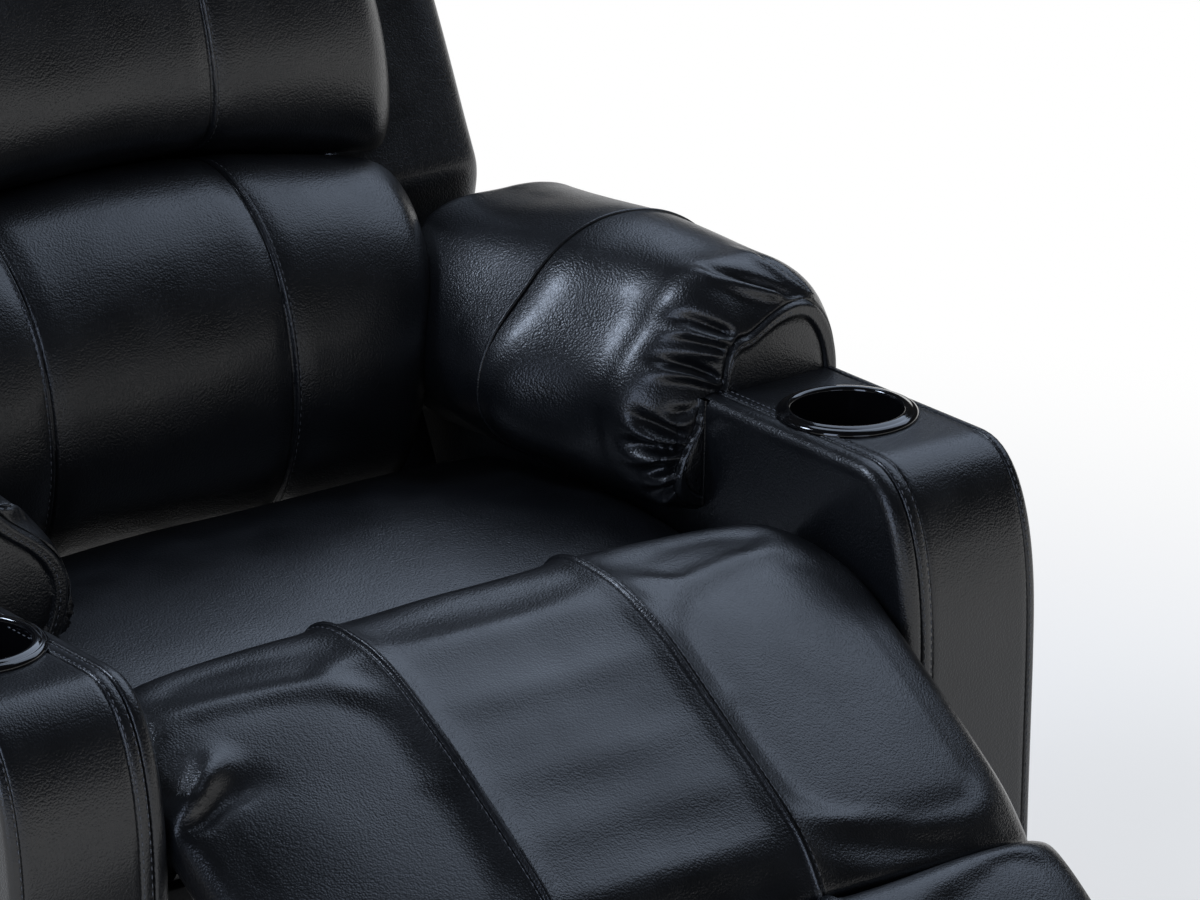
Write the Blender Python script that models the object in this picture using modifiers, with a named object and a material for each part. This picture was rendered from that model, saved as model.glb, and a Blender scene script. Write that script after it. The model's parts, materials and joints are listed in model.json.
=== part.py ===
# Power recliner: upholstered arms with cup holders, a powered footrest and a powered back.
# Metres, +Z up. The sitter faces -Y and +X is the sitter's left.
# Every place is worked out with Y = 0 at the front of the arms and Z = 0 on the floor.
# At the end the whole chair is moved so that the middle of its floor box is the origin.
# The model stands half open: the footrest slopes down at 38 degrees, the back leans by 25.

import math

import bmesh
import bpy
from mathutils import Matrix, Vector

# Clearances
TOUCH = 0.0003
PIN_PLAY = 0.0003
LINK_SPACE = 0.004
CUTTER_REACH = 0.05
UNION_STEP = 0.001

# Arms
SEAT_OPENING = 0.668
ARM_WIDTH = 0.132
ARM_TOP = 0.606
ARM_BOTTOM = 0.042
ARM_LENGTH = 0.740
NOSE_DEPTH = 0.070
NOSE_DROP = 0.090
TAIL_RADIUS = 0.150
ARM_EDGE = 0.008
COVER_WALL = 0.005
FRAME_WALL = 0.016
FRAME_RISE = 0.003
FOOT_RADIUS = 0.026
FOOT_TIP_RADIUS = 0.021
FOOT_SET_IN = 0.050

# Cup holders
CUP_PLACE = 0.154
CUP_FLANGE_RADIUS = 0.056
CUP_FLANGE_THICKNESS = 0.006
CUP_RADIUS = 0.044
CUP_FLOOR_RADIUS = 0.039
CUP_DEPTH = 0.078
CUP_WALL = 0.0025
CUP_PLAY = 0.001

# Arm pillows: distances of the surface from a line along the arm, one for each 45 degrees
# from the outer side over the top, at four places along the arm
PILLOW_LINE = (0.375, 0.585)
PILLOW_FRONT = 0.252
PILLOW_REAR = 0.566
PILLOW_END_SWELL = 0.012
PILLOW_RINGS = (
    (0.00, (0.093, 0.106, 0.062, 0.032, 0.048, 0.088, 0.070, 0.090)),
    (0.20, (0.097, 0.121, 0.104, 0.086, 0.098, 0.098, 0.070, 0.090)),
    (0.52, (0.099, 0.127, 0.125, 0.118, 0.136, 0.101, 0.070, 0.090)),
    (1.00, (0.095, 0.112, 0.105, 0.098, 0.108, 0.097, 0.070, 0.090)),
)

# Seat
SEAT_TOP = 0.508
SEAT_STEP = 0.470
SEAT_BOTTOM = 0.412
SEAT_FRONT = 0.055
SEAT_FRONT_SLOPE = 0.036
SEAT_VALLEY = 0.172
SEAT_STEP_START = 0.004
SEAT_STEP_END = 0.022
SEAT_REAR = 0.498
SEAT_HALF = 0.331
SEAT_CROWN = 0.006
SOFT_DRAW = 0.012
SPRING_WIRE = 0.0017
SPRING_COUNT = 3
SPRING_SPREAD = 0.15
SPRING_WAVES = 12
SPRING_SWING = 0.020
RAIL_HEIGHT = 0.022
RAIL_DEPTH = 0.030
REAR_RAIL_SET_IN = 0.013

# Footrest: the knee line is the line that the footrest turns about, above the links
KNEE = (-0.105, 0.560)
FOOT_TURN_REST = 52.0
FOOT_TURN_OPEN = 36.0
BOARD_STOWED_TOP = (0.058, 0.424)
BOARD_LENGTH = 0.300
BOARD_THICKNESS = 0.015
BOARD_HALF = 0.310
PAD_HALF = 0.329
PAD_SEAM = 0.110
SEAM_DEPTH = 0.007
SEAM_WIDTH = 0.014
PAD_START = 0.0245
PAD_SIDE_DROP = 0.014
FOOT_PAD_PROFILE = ((0.050, 0.087), (0.120, 0.095), (0.220, 0.092), (0.285, 0.076), (0.320, 0.038))
FOOT_PAD_OVERHANG = 0.023

# Chaise pad: its top from the seat's valley to the footrest, as a place from the front of the
# arms and a height over the seat's front step
CHAISE_PROFILE = (
    (0.171, 0.036), (0.152, 0.070), (0.120, 0.082), (0.072, 0.078), (0.020, 0.059), (-0.060, 0.010),
    (-0.140, -0.040))
CHAISE_END = (0.0225, 0.070)
CHAISE_LIFT = 0.0015
CHAISE_SIDE_DROP = 0.016

# Links that carry the footrest, in planes side by side
KNEE_TO_BASE_PIVOT = (0.320, -0.140)
KNEE_TO_FOOT_PIVOT_STOWED = (0.233, -0.260)
BASE_SHARE = 0.85
FOOT_SHARE = 0.87
SIDE_PLATE_X = 0.309
PLATE_THICKNESS = 0.003
PLATE_LUG = 0.030
OUTER_LINK_X = 0.300
INNER_LINK_X = 0.293
BRACKET_X = 0.286
BRACKET_FLANGE = 0.022
LINK_WIDTH = 0.016
PIN_RADIUS = 0.004
PIN_HEAD = 0.006
PIN_HEAD_THICKNESS = 0.003
PIN_HEAD_GAP = 0.0005
PIN_STUB = 0.001
BRACKET_UP = 0.075
BRACKET_DOWN = 0.090
BRACKET_RIM = 0.012
FLANGE_OVERHANG = 0.002
PLATE_RIM = 0.011
PLATE_DROP = 0.045
PLATE_NOSE_DROP = 0.010
PLATE_NOSE_RISE = 0.006
PLATE_NOSE = 0.012
PLATE_TAIL = 0.035
PLATE_CORNER = 0.020
PLATE_CORNER_CUT = 0.055
TORQUE_REACH = 0.070
TORQUE_RADIUS = 0.010

# Back
BACK_PIVOT = (0.560, 0.410)
BACK_LEAN = 25.0
BACK_TURN_UP = 4.0
BACK_TURN_DOWN = 33.0
BACK_HEIGHT = 0.655
BACK_SHOULDER = 0.258
BACK_BOARD_REAR = -0.050
BACK_BOARD_FRONT = -0.020
BACK_SKIN = 0.010
BACK_SKIN_EDGE = 0.004
BACK_CORNER = 0.05
BACK_BOARD_BOTTOM = 0.012
BACK_BOARD_TOP_GAP = 0.020
WING_IN = 0.2605
WING_OUT = 0.381
WING_START = 0.262
WING_FRONT = 0.079
WING_FOOT_NARROW = 0.045
WING_TOP_NARROW = 0.030
WING_FOOT_THIN = 0.020
WING_TOP_THIN = 0.030
WING_SIDE_DROP = 0.010
LUMBAR_HALF = 0.256
PILLOW_SPLIT = 0.334
HEAD_HALF = 0.258
BACK_SEAM = 0.1125
BACK_SIDE_DROP = 0.035
BACK_PILLOW_CORNER = 0.030

# Front of the two back pillows, up the back from its hinge and out from the board's plane
LUMBAR_PROFILE = (
    (0.045, 0.045), (0.060, 0.072), (0.088, 0.107), (0.135, 0.146), (0.200, 0.166), (0.256, 0.156),
    (0.303, 0.131), (PILLOW_SPLIT - UNION_STEP, 0.085))
HEAD_PROFILE = (
    (PILLOW_SPLIT + UNION_STEP, 0.062), (0.346, 0.090), (0.372, 0.120), (0.420, 0.145), (0.480, 0.158),
    (0.550, 0.152), (0.608, 0.126), (0.645, 0.078), (BACK_HEIGHT, 0.030))

# Back hinge
BACK_SHAFT_REACH = 0.090
BACK_SHAFT_RADIUS = 0.010
BACK_BRACKET_X = 0.3025
BACK_BRACKET_WIDTH = 0.026
BACK_BRACKET_BEND = 0.05
BACK_BRACKET_TOP = 0.16

# Drives
DRIVE_SPREAD = 0.085
DRIVE_HOUSING = (0.062, 0.076, 0.070)
DRIVE_MOTOR_RADIUS = 0.021
DRIVE_MOTOR_LENGTH = 0.070
DRIVE_TUBE_RADIUS = 0.014
DRIVE_ROD_RADIUS = 0.008
DRIVE_AXIS_DROP = 0.036
FOOT_DRIVE_TUBE_LENGTH = 0.090
BACK_DRIVE_TUBE_LENGTH = 0.011
BACK_DRIVE_SET_IN = 0.045
MOTOR_SUNK = 0.010
ROD_IN_YOKE = 0.004
YOKE_FOOT = 0.003
YOKE_THICKNESS = 0.012
YOKE_WALL = 0.009
YOKE_PLAY = 0.0032
ROD_LEFT_IN = 0.008
DRIVE_BORE_DEPTH = 0.070

# Base and rear
TIE_HEIGHT = 0.022
TIE_DEPTH = 0.030
TIE_FRONT = 0.085
REAR_PANEL_SET_IN = 0.050
REAR_PANEL_THICKNESS = 0.018
REAR_PANEL_BOTTOM = 0.050
REAR_PANEL_TOP = 0.375
INLET_PLACE = (0.200, 0.120)
INLET_RADIUS = 0.013
INLET_BORE = 0.0055
INLET_FLANGE = 0.003
INLET_BARREL_RADIUS = 0.009
INLET_BARREL_REACH = 0.006
INLET_BORE_FLOOR = 0.004

# Controls, on the outer side of the sitter's right arm
PANEL_PLACE = (0.300, 0.490)
PANEL_LENGTH = 0.116
PANEL_HEIGHT = 0.040
PANEL_DEPTH = 0.012
PANEL_PROUD = 0.0015
BUTTON_COUNT = 4
BUTTON_PITCH = 0.026
BUTTON_SIZE = (0.0200, 0.0240)
BUTTON_PROUD = 0.0025
BUTTON_TRAVEL = 0.0015
BUTTON_WELL = 0.009
BUTTON_PLAY = 0.0004
BUTTON_EDGE = 0.0008

# Worked out from the sizes above
ARM_IN = SEAT_OPENING / 2
ARM_OUT = ARM_IN + ARM_WIDTH
ARM_MID = ARM_IN + ARM_WIDTH / 2
REAR_PANEL_PLACE = ARM_LENGTH - REAR_PANEL_SET_IN
RIGHT_HANDED_PLATE = Matrix(((0, 0, 1, 0), (1, 0, 0, 0), (0, 1, 0, 0), (0, 0, 0, 1)))


def opened(vector, degrees):
    """The (y, z) vector after the footrest or the back has opened by this angle."""
    turn = math.radians(degrees)
    y, z = vector
    return (y * math.cos(turn) + z * math.sin(turn), z * math.cos(turn) - y * math.sin(turn))


def moved(point, vector, share=1.0):
    return (point[0] + vector[0] * share, point[1] + vector[1] * share)


# The footrest's board at rest: its top edge, the way down it and the way out of its face
FOOT_DOWN = opened((0.0, -1.0), FOOT_TURN_REST)
FOOT_OUT = opened((-1.0, 0.0), FOOT_TURN_REST)
KNEE_TO_BOARD_STOWED = (BOARD_STOWED_TOP[0] - KNEE[0], BOARD_STOWED_TOP[1] - KNEE[1])
BOARD_TOP = moved(KNEE, opened(KNEE_TO_BOARD_STOWED, FOOT_TURN_REST))

# The link pivots at rest
FOOT_ARM = opened(KNEE_TO_FOOT_PIVOT_STOWED, FOOT_TURN_REST)
PIVOT_A = moved(KNEE, KNEE_TO_BASE_PIVOT)
PIVOT_A2 = moved(KNEE, KNEE_TO_BASE_PIVOT, BASE_SHARE)
PIVOT_C = moved(KNEE, FOOT_ARM)
PIVOT_C2 = moved(KNEE, FOOT_ARM, FOOT_SHARE)
PIVOT_B = moved(PIVOT_A, FOOT_ARM)
PIVOT_B2 = moved(PIVOT_A, FOOT_ARM, FOOT_SHARE)
PIVOT_E = moved(PIVOT_A2, FOOT_ARM)
PIVOT_E2 = moved(PIVOT_A2, FOOT_ARM, FOOT_SHARE)
FOOT_ARM_LENGTH = math.hypot(*FOOT_ARM)
TORQUE_CENTRE = moved(PIVOT_A, FOOT_ARM, TORQUE_REACH / FOOT_ARM_LENGTH)

# The back at rest: the way up it and the way out of its front
BACK_UP = (math.sin(math.radians(BACK_LEAN)), math.cos(math.radians(BACK_LEAN)))
BACK_OUT = (-BACK_UP[1], BACK_UP[0])
BACK_MIDDLE_TURN = (BACK_TURN_DOWN - BACK_TURN_UP) / 2
BACK_SHAFT_CENTRE = moved(BACK_PIVOT, opened((0.0, -BACK_SHAFT_REACH), -BACK_MIDDLE_TURN))
BACK_SHAFT_SWING = BACK_SHAFT_REACH * math.sin(math.radians(BACK_TURN_DOWN - BACK_MIDDLE_TURN))
BACK_SHAFT_FORWARD = BACK_PIVOT[0] - BACK_SHAFT_SWING - BACK_SHAFT_RADIUS
BACK_MATRIX = Matrix((
    (1, 0, 0, 0),
    (0, BACK_UP[0], BACK_OUT[0], BACK_PIVOT[0]),
    (0, BACK_UP[1], BACK_OUT[1], BACK_PIVOT[1]),
    (0, 0, 0, 1)))

# Seat rails, which lie between the side plates
RAIL_TOP = SEAT_BOTTOM - TOUCH - 2 * SPRING_WIRE - TOUCH
RAIL_BOTTOM = RAIL_TOP - RAIL_HEIGHT
FRONT_RAIL = SEAT_FRONT + SEAT_FRONT_SLOPE
REAR_RAIL = SEAT_REAR - REAR_RAIL_SET_IN
DRIVE_TOP = RAIL_BOTTOM - TOUCH
DRIVE_AXIS = DRIVE_TOP - DRIVE_AXIS_DROP


def scene_cleared():
    for item in list(bpy.data.objects):
        bpy.data.objects.remove(item, do_unlink=True)
    made = []
    for name in ("power_recliner", "cutters"):
        group = bpy.data.collections.new(name)
        bpy.context.scene.collection.children.link(group)
        made.append(group)
    return made


PARTS, CUTTERS = scene_cleared()


def empty(name, place, parent=None):
    item = bpy.data.objects.new(name, None)
    item.empty_display_size = 0.05
    item.location = place
    item.parent = parent
    PARTS.objects.link(item)
    return item


def pivot(name, place, x=0.0):
    item = empty(name, (x, place[0], place[1]), CHAIR)
    item["centre"] = (x, place[0], place[1])
    return item


def material(name, colour, roughness, metallic=0.0):
    made = bpy.data.materials.new(name)
    made.use_nodes = True
    shader = made.node_tree.nodes["Principled BSDF"]
    shader.inputs["Base Color"].default_value = (*colour, 1.0)
    shader.inputs["Roughness"].default_value = roughness
    shader.inputs["Metallic"].default_value = metallic
    made.diffuse_color = (*colour, 1.0)
    return made


def placed(name, mesh, kind, frame=None, smooth=False):
    """A named part whose mesh is in the working frame, hung on the empty of its joint."""
    mesh.name = name
    item = bpy.data.objects.new(name, mesh)
    holder = frame or CHAIR
    if "centre" in holder:
        mesh.transform(Matrix.Translation(-Vector(holder["centre"])))
    item.parent = holder
    if kind is None:
        CUTTERS.objects.link(item)
        item.hide_render = True
        item.display_type = "WIRE"
    else:
        PARTS.objects.link(item)
        mesh.materials.append(kind)
    if smooth:
        mesh.shade_smooth()
        mesh.set_sharp_from_angle(angle=math.radians(40))
    return item


def from_bmesh(shape):
    mesh = bpy.data.meshes.new("shape")
    shape.normal_update()
    bmesh.ops.recalc_face_normals(shape, faces=shape.faces)
    shape.to_mesh(mesh)
    shape.free()
    return mesh


def box_mesh(low, high):
    shape = bmesh.new()
    bmesh.ops.create_cube(shape, size=1.0)
    size = [b - a for a, b in zip(low, high)]
    middle = [(a + b) / 2 for a, b in zip(low, high)]
    bmesh.ops.scale(shape, vec=size, verts=shape.verts)
    bmesh.ops.translate(shape, vec=middle, verts=shape.verts)
    return from_bmesh(shape)


def box(name, low, high, kind, frame=None, edge=0.0):
    low, high = [min(a, b) for a, b in zip(low, high)], [max(a, b) for a, b in zip(low, high)]
    item = placed(name, box_mesh(low, high), kind, frame)
    if edge:
        rounded(item, edge, 2)
    return item


def rounded(item, width, segments, angle=35.0):
    bevel = item.modifiers.new("rounded_edges", "BEVEL")
    bevel.width = width
    bevel.segments = segments
    bevel.limit_method = "ANGLE"
    bevel.angle_limit = math.radians(angle)
    return bevel


def cylinder_mesh(start, end, radius, sides, end_radius=None):
    """A round bar, or a cone where the end's radius differs, between two points."""
    start, end = Vector(start), Vector(end)
    way = end - start
    shape = bmesh.new()
    bmesh.ops.create_cone(
        shape, cap_ends=True, segments=sides, radius1=radius,
        radius2=radius if end_radius is None else end_radius, depth=way.length)
    turn = way.to_track_quat("Z", "Y").to_matrix().to_4x4()
    bmesh.ops.transform(shape, matrix=Matrix.Translation((start + end) / 2) @ turn, verts=shape.verts)
    return from_bmesh(shape)


def cylinder(name, start, end, radius, kind, frame=None, sides=16, end_radius=None):
    return placed(name, cylinder_mesh(start, end, radius, sides, end_radius), kind, frame, smooth=True)


def arc(centre, radii, start, end, steps):
    """Points of an ellipse's stretch, with angles in degrees."""
    points = []
    for step in range(steps + 1):
        angle = math.radians(start + (end - start) * step / steps)
        points.append((centre[0] + radii[0] * math.cos(angle), centre[1] + radii[1] * math.sin(angle)))
    return points


def circle(centre, radius, sides=12):
    return arc(centre, (radius, radius), 0, 360 - 360 / sides, sides - 1)


def extruded_mesh(outline, low, high, holes=(), matrix=RIGHT_HANDED_PLATE):
    """A flat outline with holes, thick from low to high along the matrix's third axis."""
    curve = bpy.data.curves.new("outline", "CURVE")
    curve.dimensions = "2D"
    curve.fill_mode = "BOTH"
    curve.extrude = (high - low) / 2
    for loop in (outline, *holes):
        spline = curve.splines.new("POLY")
        spline.points.add(len(loop) - 1)
        for point, place in zip(spline.points, loop):
            point.co = (place[0], place[1], 0.0, 1.0)
        spline.use_cyclic_u = True
    helper = bpy.data.objects.new("outline", curve)
    CUTTERS.objects.link(helper)
    graph = bpy.context.evaluated_depsgraph_get()
    mesh = bpy.data.meshes.new_from_object(helper.evaluated_get(graph))
    bpy.data.objects.remove(helper, do_unlink=True)
    shape = bmesh.new()
    shape.from_mesh(mesh)
    bmesh.ops.remove_doubles(shape, verts=shape.verts, dist=0.00001)
    lift = Matrix.Translation((0, 0, (low + high) / 2))
    bmesh.ops.transform(shape, matrix=matrix @ lift, verts=shape.verts)
    return from_bmesh(shape)


def extruded(name, outline, low, high, kind, frame=None, holes=(), matrix=RIGHT_HANDED_PLATE):
    low, high = min(low, high), max(low, high)
    return placed(name, extruded_mesh(outline, low, high, holes, matrix), kind, frame)


def combined(item, tool, operation):
    change = item.modifiers.new(tool.name, "BOOLEAN")
    change.operation = operation
    change.solver = "EXACT"
    change.object = tool


def cut(item, name, mesh, frame=None):
    combined(item, placed(name, mesh, None, frame), "DIFFERENCE")


def join(item, name, mesh, frame=None):
    combined(item, placed(name, mesh, None, frame), "UNION")


def through(points):
    """A smooth path through its points, as a function of a share from 0 to 1."""
    marks = [0.0]
    for a, b in zip(points, points[1:]):
        marks.append(marks[-1] + math.dist(a, b))

    def at(share):
        place = share * marks[-1]
        index = 0
        while index < len(points) - 2 and place > marks[index + 1]:
            index += 1
        span = marks[index + 1] - marks[index]
        t = (place - marks[index]) / span
        a, b = points[index], points[index + 1]
        before = points[index - 1] if index else a
        after = points[index + 2] if index + 2 < len(points) else b
        result = []
        for p, q, r, s in zip(before, a, b, after):
            slope_in = (r - p) / (2 if index else 1)
            slope_out = (s - q) / (2 if index + 2 < len(points) else 1)
            result.append(
                (2 * t**3 - 3 * t**2 + 1) * q + (t**3 - 2 * t**2 + t) * slope_in
                + (3 * t**2 - 2 * t**3) * r + (t**3 - t**2) * slope_out)
        return tuple(result)

    return at


def smooth_step(low, high, value):
    t = min(1.0, max(0.0, (value - low) / (high - low)))
    return t * t * (3 - 2 * t)


def between(rows, value):
    """The value that straight lines between rows of (mark, value) give at a mark."""
    for (a, low), (b, high) in zip(rows, rows[1:]):
        if value <= b + 1e-9:
            return low + (high - low) * (value - a) / (b - a)
    return rows[-1][1]


def form(name, divisions, shape_of, kind, frame=None):
    """A soft solid: a divided cube from -1 to 1 whose points the given rule puts in place."""
    shape = bmesh.new()
    bmesh.ops.create_cube(shape, size=2.0)
    for axis, count in enumerate(divisions):
        along = [
            edge for edge in shape.edges
            if abs(edge.verts[0].co[axis] - edge.verts[1].co[axis]) > 1.0]
        bmesh.ops.subdivide_edges(shape, edges=along, cuts=count - 1, use_grid_fill=True)
    for vertex in shape.verts:
        vertex.co = shape_of(*vertex.co)
    item = placed(name, from_bmesh(shape), kind, frame, smooth=True)
    finer = item.modifiers.new("soft", "SUBSURF")
    finer.levels = 1
    finer.render_levels = 1
    return item


def channel(x, seam, depth):
    """How far a sewn channel draws the surface in at a distance from the middle."""
    return depth * math.exp(-((abs(x) - seam) / SEAM_WIDTH) ** 2)


def seam_stations(seam_share):
    """A rule that puts two of eight even steps across a pad onto its seams."""
    marks = (0.0, seam_share, seam_share + (1 - seam_share) * 0.45, seam_share + (1 - seam_share) * 0.85, 1.0)
    last = len(marks) - 1

    def at(u):
        place = abs(u) * last
        index = min(last - 1, int(place + 1e-6))
        value = marks[index] + (marks[index + 1] - marks[index]) * (place - index)
        return math.copysign(value, u)

    return at


def on_board(along, out):
    """A (y, z) point given down the footrest's board from its top edge, and out of its face."""
    y, z = moved(BOARD_TOP, FOOT_DOWN, along)
    return moved((y, z), FOOT_OUT, out)


def on_back(up, out):
    y, z = moved(BACK_PIVOT, BACK_UP, up)
    return moved((y, z), BACK_OUT, out)


def arm_outline(inset, bottom):
    """The arm's side view, with a rounded nose and a rounded tail, drawn in by an inset."""
    nose = arc((NOSE_DEPTH, ARM_TOP - NOSE_DROP), (NOSE_DEPTH - inset, NOSE_DROP - inset), 180, 90, 6)
    tail_centre = (ARM_LENGTH - TAIL_RADIUS, ARM_TOP - TAIL_RADIUS)
    tail = arc(tail_centre, (TAIL_RADIUS - inset, TAIL_RADIUS - inset), 90, 0, 6)
    return [(inset, bottom), *nose, *tail, (ARM_LENGTH - inset, bottom)]


def pillow_radius(share, angle):
    """The distance of the arm pillow's skin from its line, between the named rings."""
    rings = PILLOW_RINGS
    index = 0
    while index < len(rings) - 2 and share > rings[index + 1][0]:
        index += 1
    low, high = rings[index], rings[index + 1]
    t = smooth_step(low[0], high[0], share)
    place = (angle % (2 * math.pi)) / (math.pi / 4)
    step = int(place) % 8
    f = place - int(place)
    blend = (1 - math.cos(f * math.pi)) / 2
    values = []
    for radii in (low[1], high[1]):
        values.append(radii[step] * (1 - blend) + radii[(step + 1) % 8] * blend)
    return values[0] * (1 - t) + values[1] * t


def make_arm(side, label):
    """One arm: hollow timber frame, cover, cup holder, pillow and two feet."""
    inner, outer = side * ARM_IN, side * ARM_OUT
    skin = COVER_WALL + TOUCH
    frame_bottom = ARM_BOTTOM + FRAME_RISE
    block_bottom = frame_bottom + UNION_STEP

    frame = extruded(
        "arm_frame_" + label, arm_outline(skin, frame_bottom), inner + side * skin, outer - side * skin, WOOD)
    hollow = skin + FRAME_WALL
    low, high = sorted((inner + side * hollow, outer - side * hollow))
    cut(frame, "arm_hollow_" + label, extruded_mesh(arm_outline(hollow, 0.0), low, high))
    cup_hole = cylinder_mesh(
        (side * ARM_MID, CUP_PLACE, ARM_TOP - CUP_DEPTH), (side * ARM_MID, CUP_PLACE, ARM_TOP + CUP_DEPTH),
        CUP_RADIUS + CUP_WALL + CUP_PLAY, 24)
    cut(frame, "cup_hole_" + label, cup_hole)

    low, high = sorted((inner, outer))
    mesh = extruded_mesh(arm_outline(0.0, ARM_BOTTOM), low, high)
    shape = bmesh.new()
    shape.from_mesh(mesh)
    under = [face for face in shape.faces if face.normal.z < -0.99]
    bmesh.ops.delete(shape, geom=under, context="FACES")
    cover = placed("arm_cover_" + label, from_bmesh_open(shape), LEATHER, smooth=True)
    rounded(cover, ARM_EDGE, 2)
    wall = cover.modifiers.new("skin", "SOLIDIFY")
    wall.thickness = COVER_WALL
    wall.offset = -1.0
    combined(cover, bpy.data.objects["cup_hole_" + label], "DIFFERENCE")

    make_cup_holder(side, label)
    make_arm_pillow(side, label)
    for place, where in ((FOOT_SET_IN, "front"), (ARM_LENGTH - FOOT_SET_IN, "rear")):
        cylinder(
            "foot_" + where + "_" + label, (side * ARM_MID, place, 0.0),
            (side * ARM_MID, place, block_bottom - TOUCH), FOOT_TIP_RADIUS, PLASTIC,
            sides=20, end_radius=FOOT_RADIUS)
        half = ARM_WIDTH / 2 - hollow + UNION_STEP
        block = box_mesh(
            (side * ARM_MID - half, place - FOOT_RADIUS, block_bottom),
            (side * ARM_MID + half, place + FOOT_RADIUS, frame_bottom + FRAME_WALL))
        join(frame, "foot_block_" + where + "_" + label, block)


def from_bmesh_open(shape):
    mesh = bpy.data.meshes.new("shape")
    shape.to_mesh(mesh)
    shape.free()
    return mesh


def make_cup_holder(side, label):
    """A turned cup with a flat rounded flange that lies on the arm's top."""
    top = ARM_TOP + TOUCH + CUP_FLANGE_THICKNESS
    under = ARM_TOP + TOUCH
    lip = CUP_FLANGE_THICKNESS / 3
    profile = (
        (0.0, top - CUP_DEPTH), (CUP_FLOOR_RADIUS, top - CUP_DEPTH), (CUP_RADIUS - lip, top - lip),
        (CUP_RADIUS + lip, top), (CUP_FLANGE_RADIUS - 2 * lip, top), (CUP_FLANGE_RADIUS, top - lip),
        (CUP_FLANGE_RADIUS, under), (CUP_RADIUS + CUP_WALL, under),
        (CUP_FLOOR_RADIUS + CUP_WALL, top - CUP_DEPTH - CUP_WALL), (0.0, top - CUP_DEPTH - CUP_WALL))
    shape = bmesh.new()
    corners = [shape.verts.new((r, 0.0, z)) for r, z in profile]
    for a, b in zip(corners, corners[1:]):
        shape.edges.new((a, b))
    item = placed("cup_holder_" + label, from_bmesh_open(shape), GLOSS, smooth=True)
    item.location = (side * ARM_MID, CUP_PLACE, 0.0)
    turn = item.modifiers.new("turned", "SCREW")
    turn.steps = 28
    turn.render_steps = 28
    turn.use_merge_vertices = True
    turn.merge_threshold = 0.0001
    turn.use_normal_calculate = False


def make_arm_pillow(side, label):
    """The stuffed pillow over the rear of the arm, cut to sit on the arm."""
    centre_x, centre_z = PILLOW_LINE

    def shape_of(u, v, w):
        share = (v + 1) / 2
        reach = max(abs(u), abs(w))
        if reach < 1e-6:
            angle = 0.0
        else:
            angle = math.atan2(w, u)
        radius = pillow_radius(share, angle) * reach
        y = PILLOW_FRONT + (PILLOW_REAR - PILLOW_FRONT) * share
        y += math.copysign(PILLOW_END_SWELL * (1 - reach**2), v) if abs(v) > 0.999 else 0.0
        x = centre_x + radius * math.cos(angle)
        return Vector((side * x, y, centre_z + radius * math.sin(angle)))

    item = form("arm_pillow_" + label, (4, 5, 4), shape_of, LEATHER)
    low, high = sorted((side * (ARM_IN - TOUCH), side * (ARM_OUT + CUTTER_REACH)))
    outline = arm_outline(-TOUCH, ARM_BOTTOM)
    cut(item, "arm_space_" + label, extruded_mesh(outline, low, high))


def make_controls():
    """The panel of four push buttons in the outer side of the sitter's right arm."""
    face = -(ARM_OUT + PANEL_PROUD)
    back = face + PANEL_DEPTH
    y, z = PANEL_PLACE
    half_y, half_z = PANEL_LENGTH / 2, PANEL_HEIGHT / 2
    window = box_mesh(
        (-(ARM_OUT + CUTTER_REACH), y - half_y - TOUCH, z - half_z - TOUCH),
        (back + TOUCH, y + half_y + TOUCH, z + half_z + TOUCH))
    cutter = placed("panel_window", window, None)
    combined(bpy.data.objects["arm_cover_right"], cutter, "DIFFERENCE")
    combined(bpy.data.objects["arm_frame_right"], cutter, "DIFFERENCE")

    panel = box("control_panel", (face, y - half_y, z - half_z), (back, y + half_y, z + half_z), GLOSS)
    for index in range(BUTTON_COUNT):
        middle = y + (index - (BUTTON_COUNT - 1) / 2) * BUTTON_PITCH
        size_y, size_z = (value / 2 for value in BUTTON_SIZE)
        play = BUTTON_PLAY
        well = box_mesh(
            (face - PANEL_DEPTH, middle - size_y - play, z - size_z - play),
            (face + BUTTON_WELL, middle + size_y + play, z + size_z + play))
        number = str(index + 1)
        cut(panel, "button_well_" + number, well)
        frame = pivot("button_" + number + "_slide", (middle, z), face)
        box(
            "button_" + number, (face - BUTTON_PROUD, middle - size_y, z - size_z),
            (face + BUTTON_WELL - BUTTON_TRAVEL - BUTTON_PLAY, middle + size_y, z + size_z),
            PLASTIC, frame, edge=BUTTON_EDGE)


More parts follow.
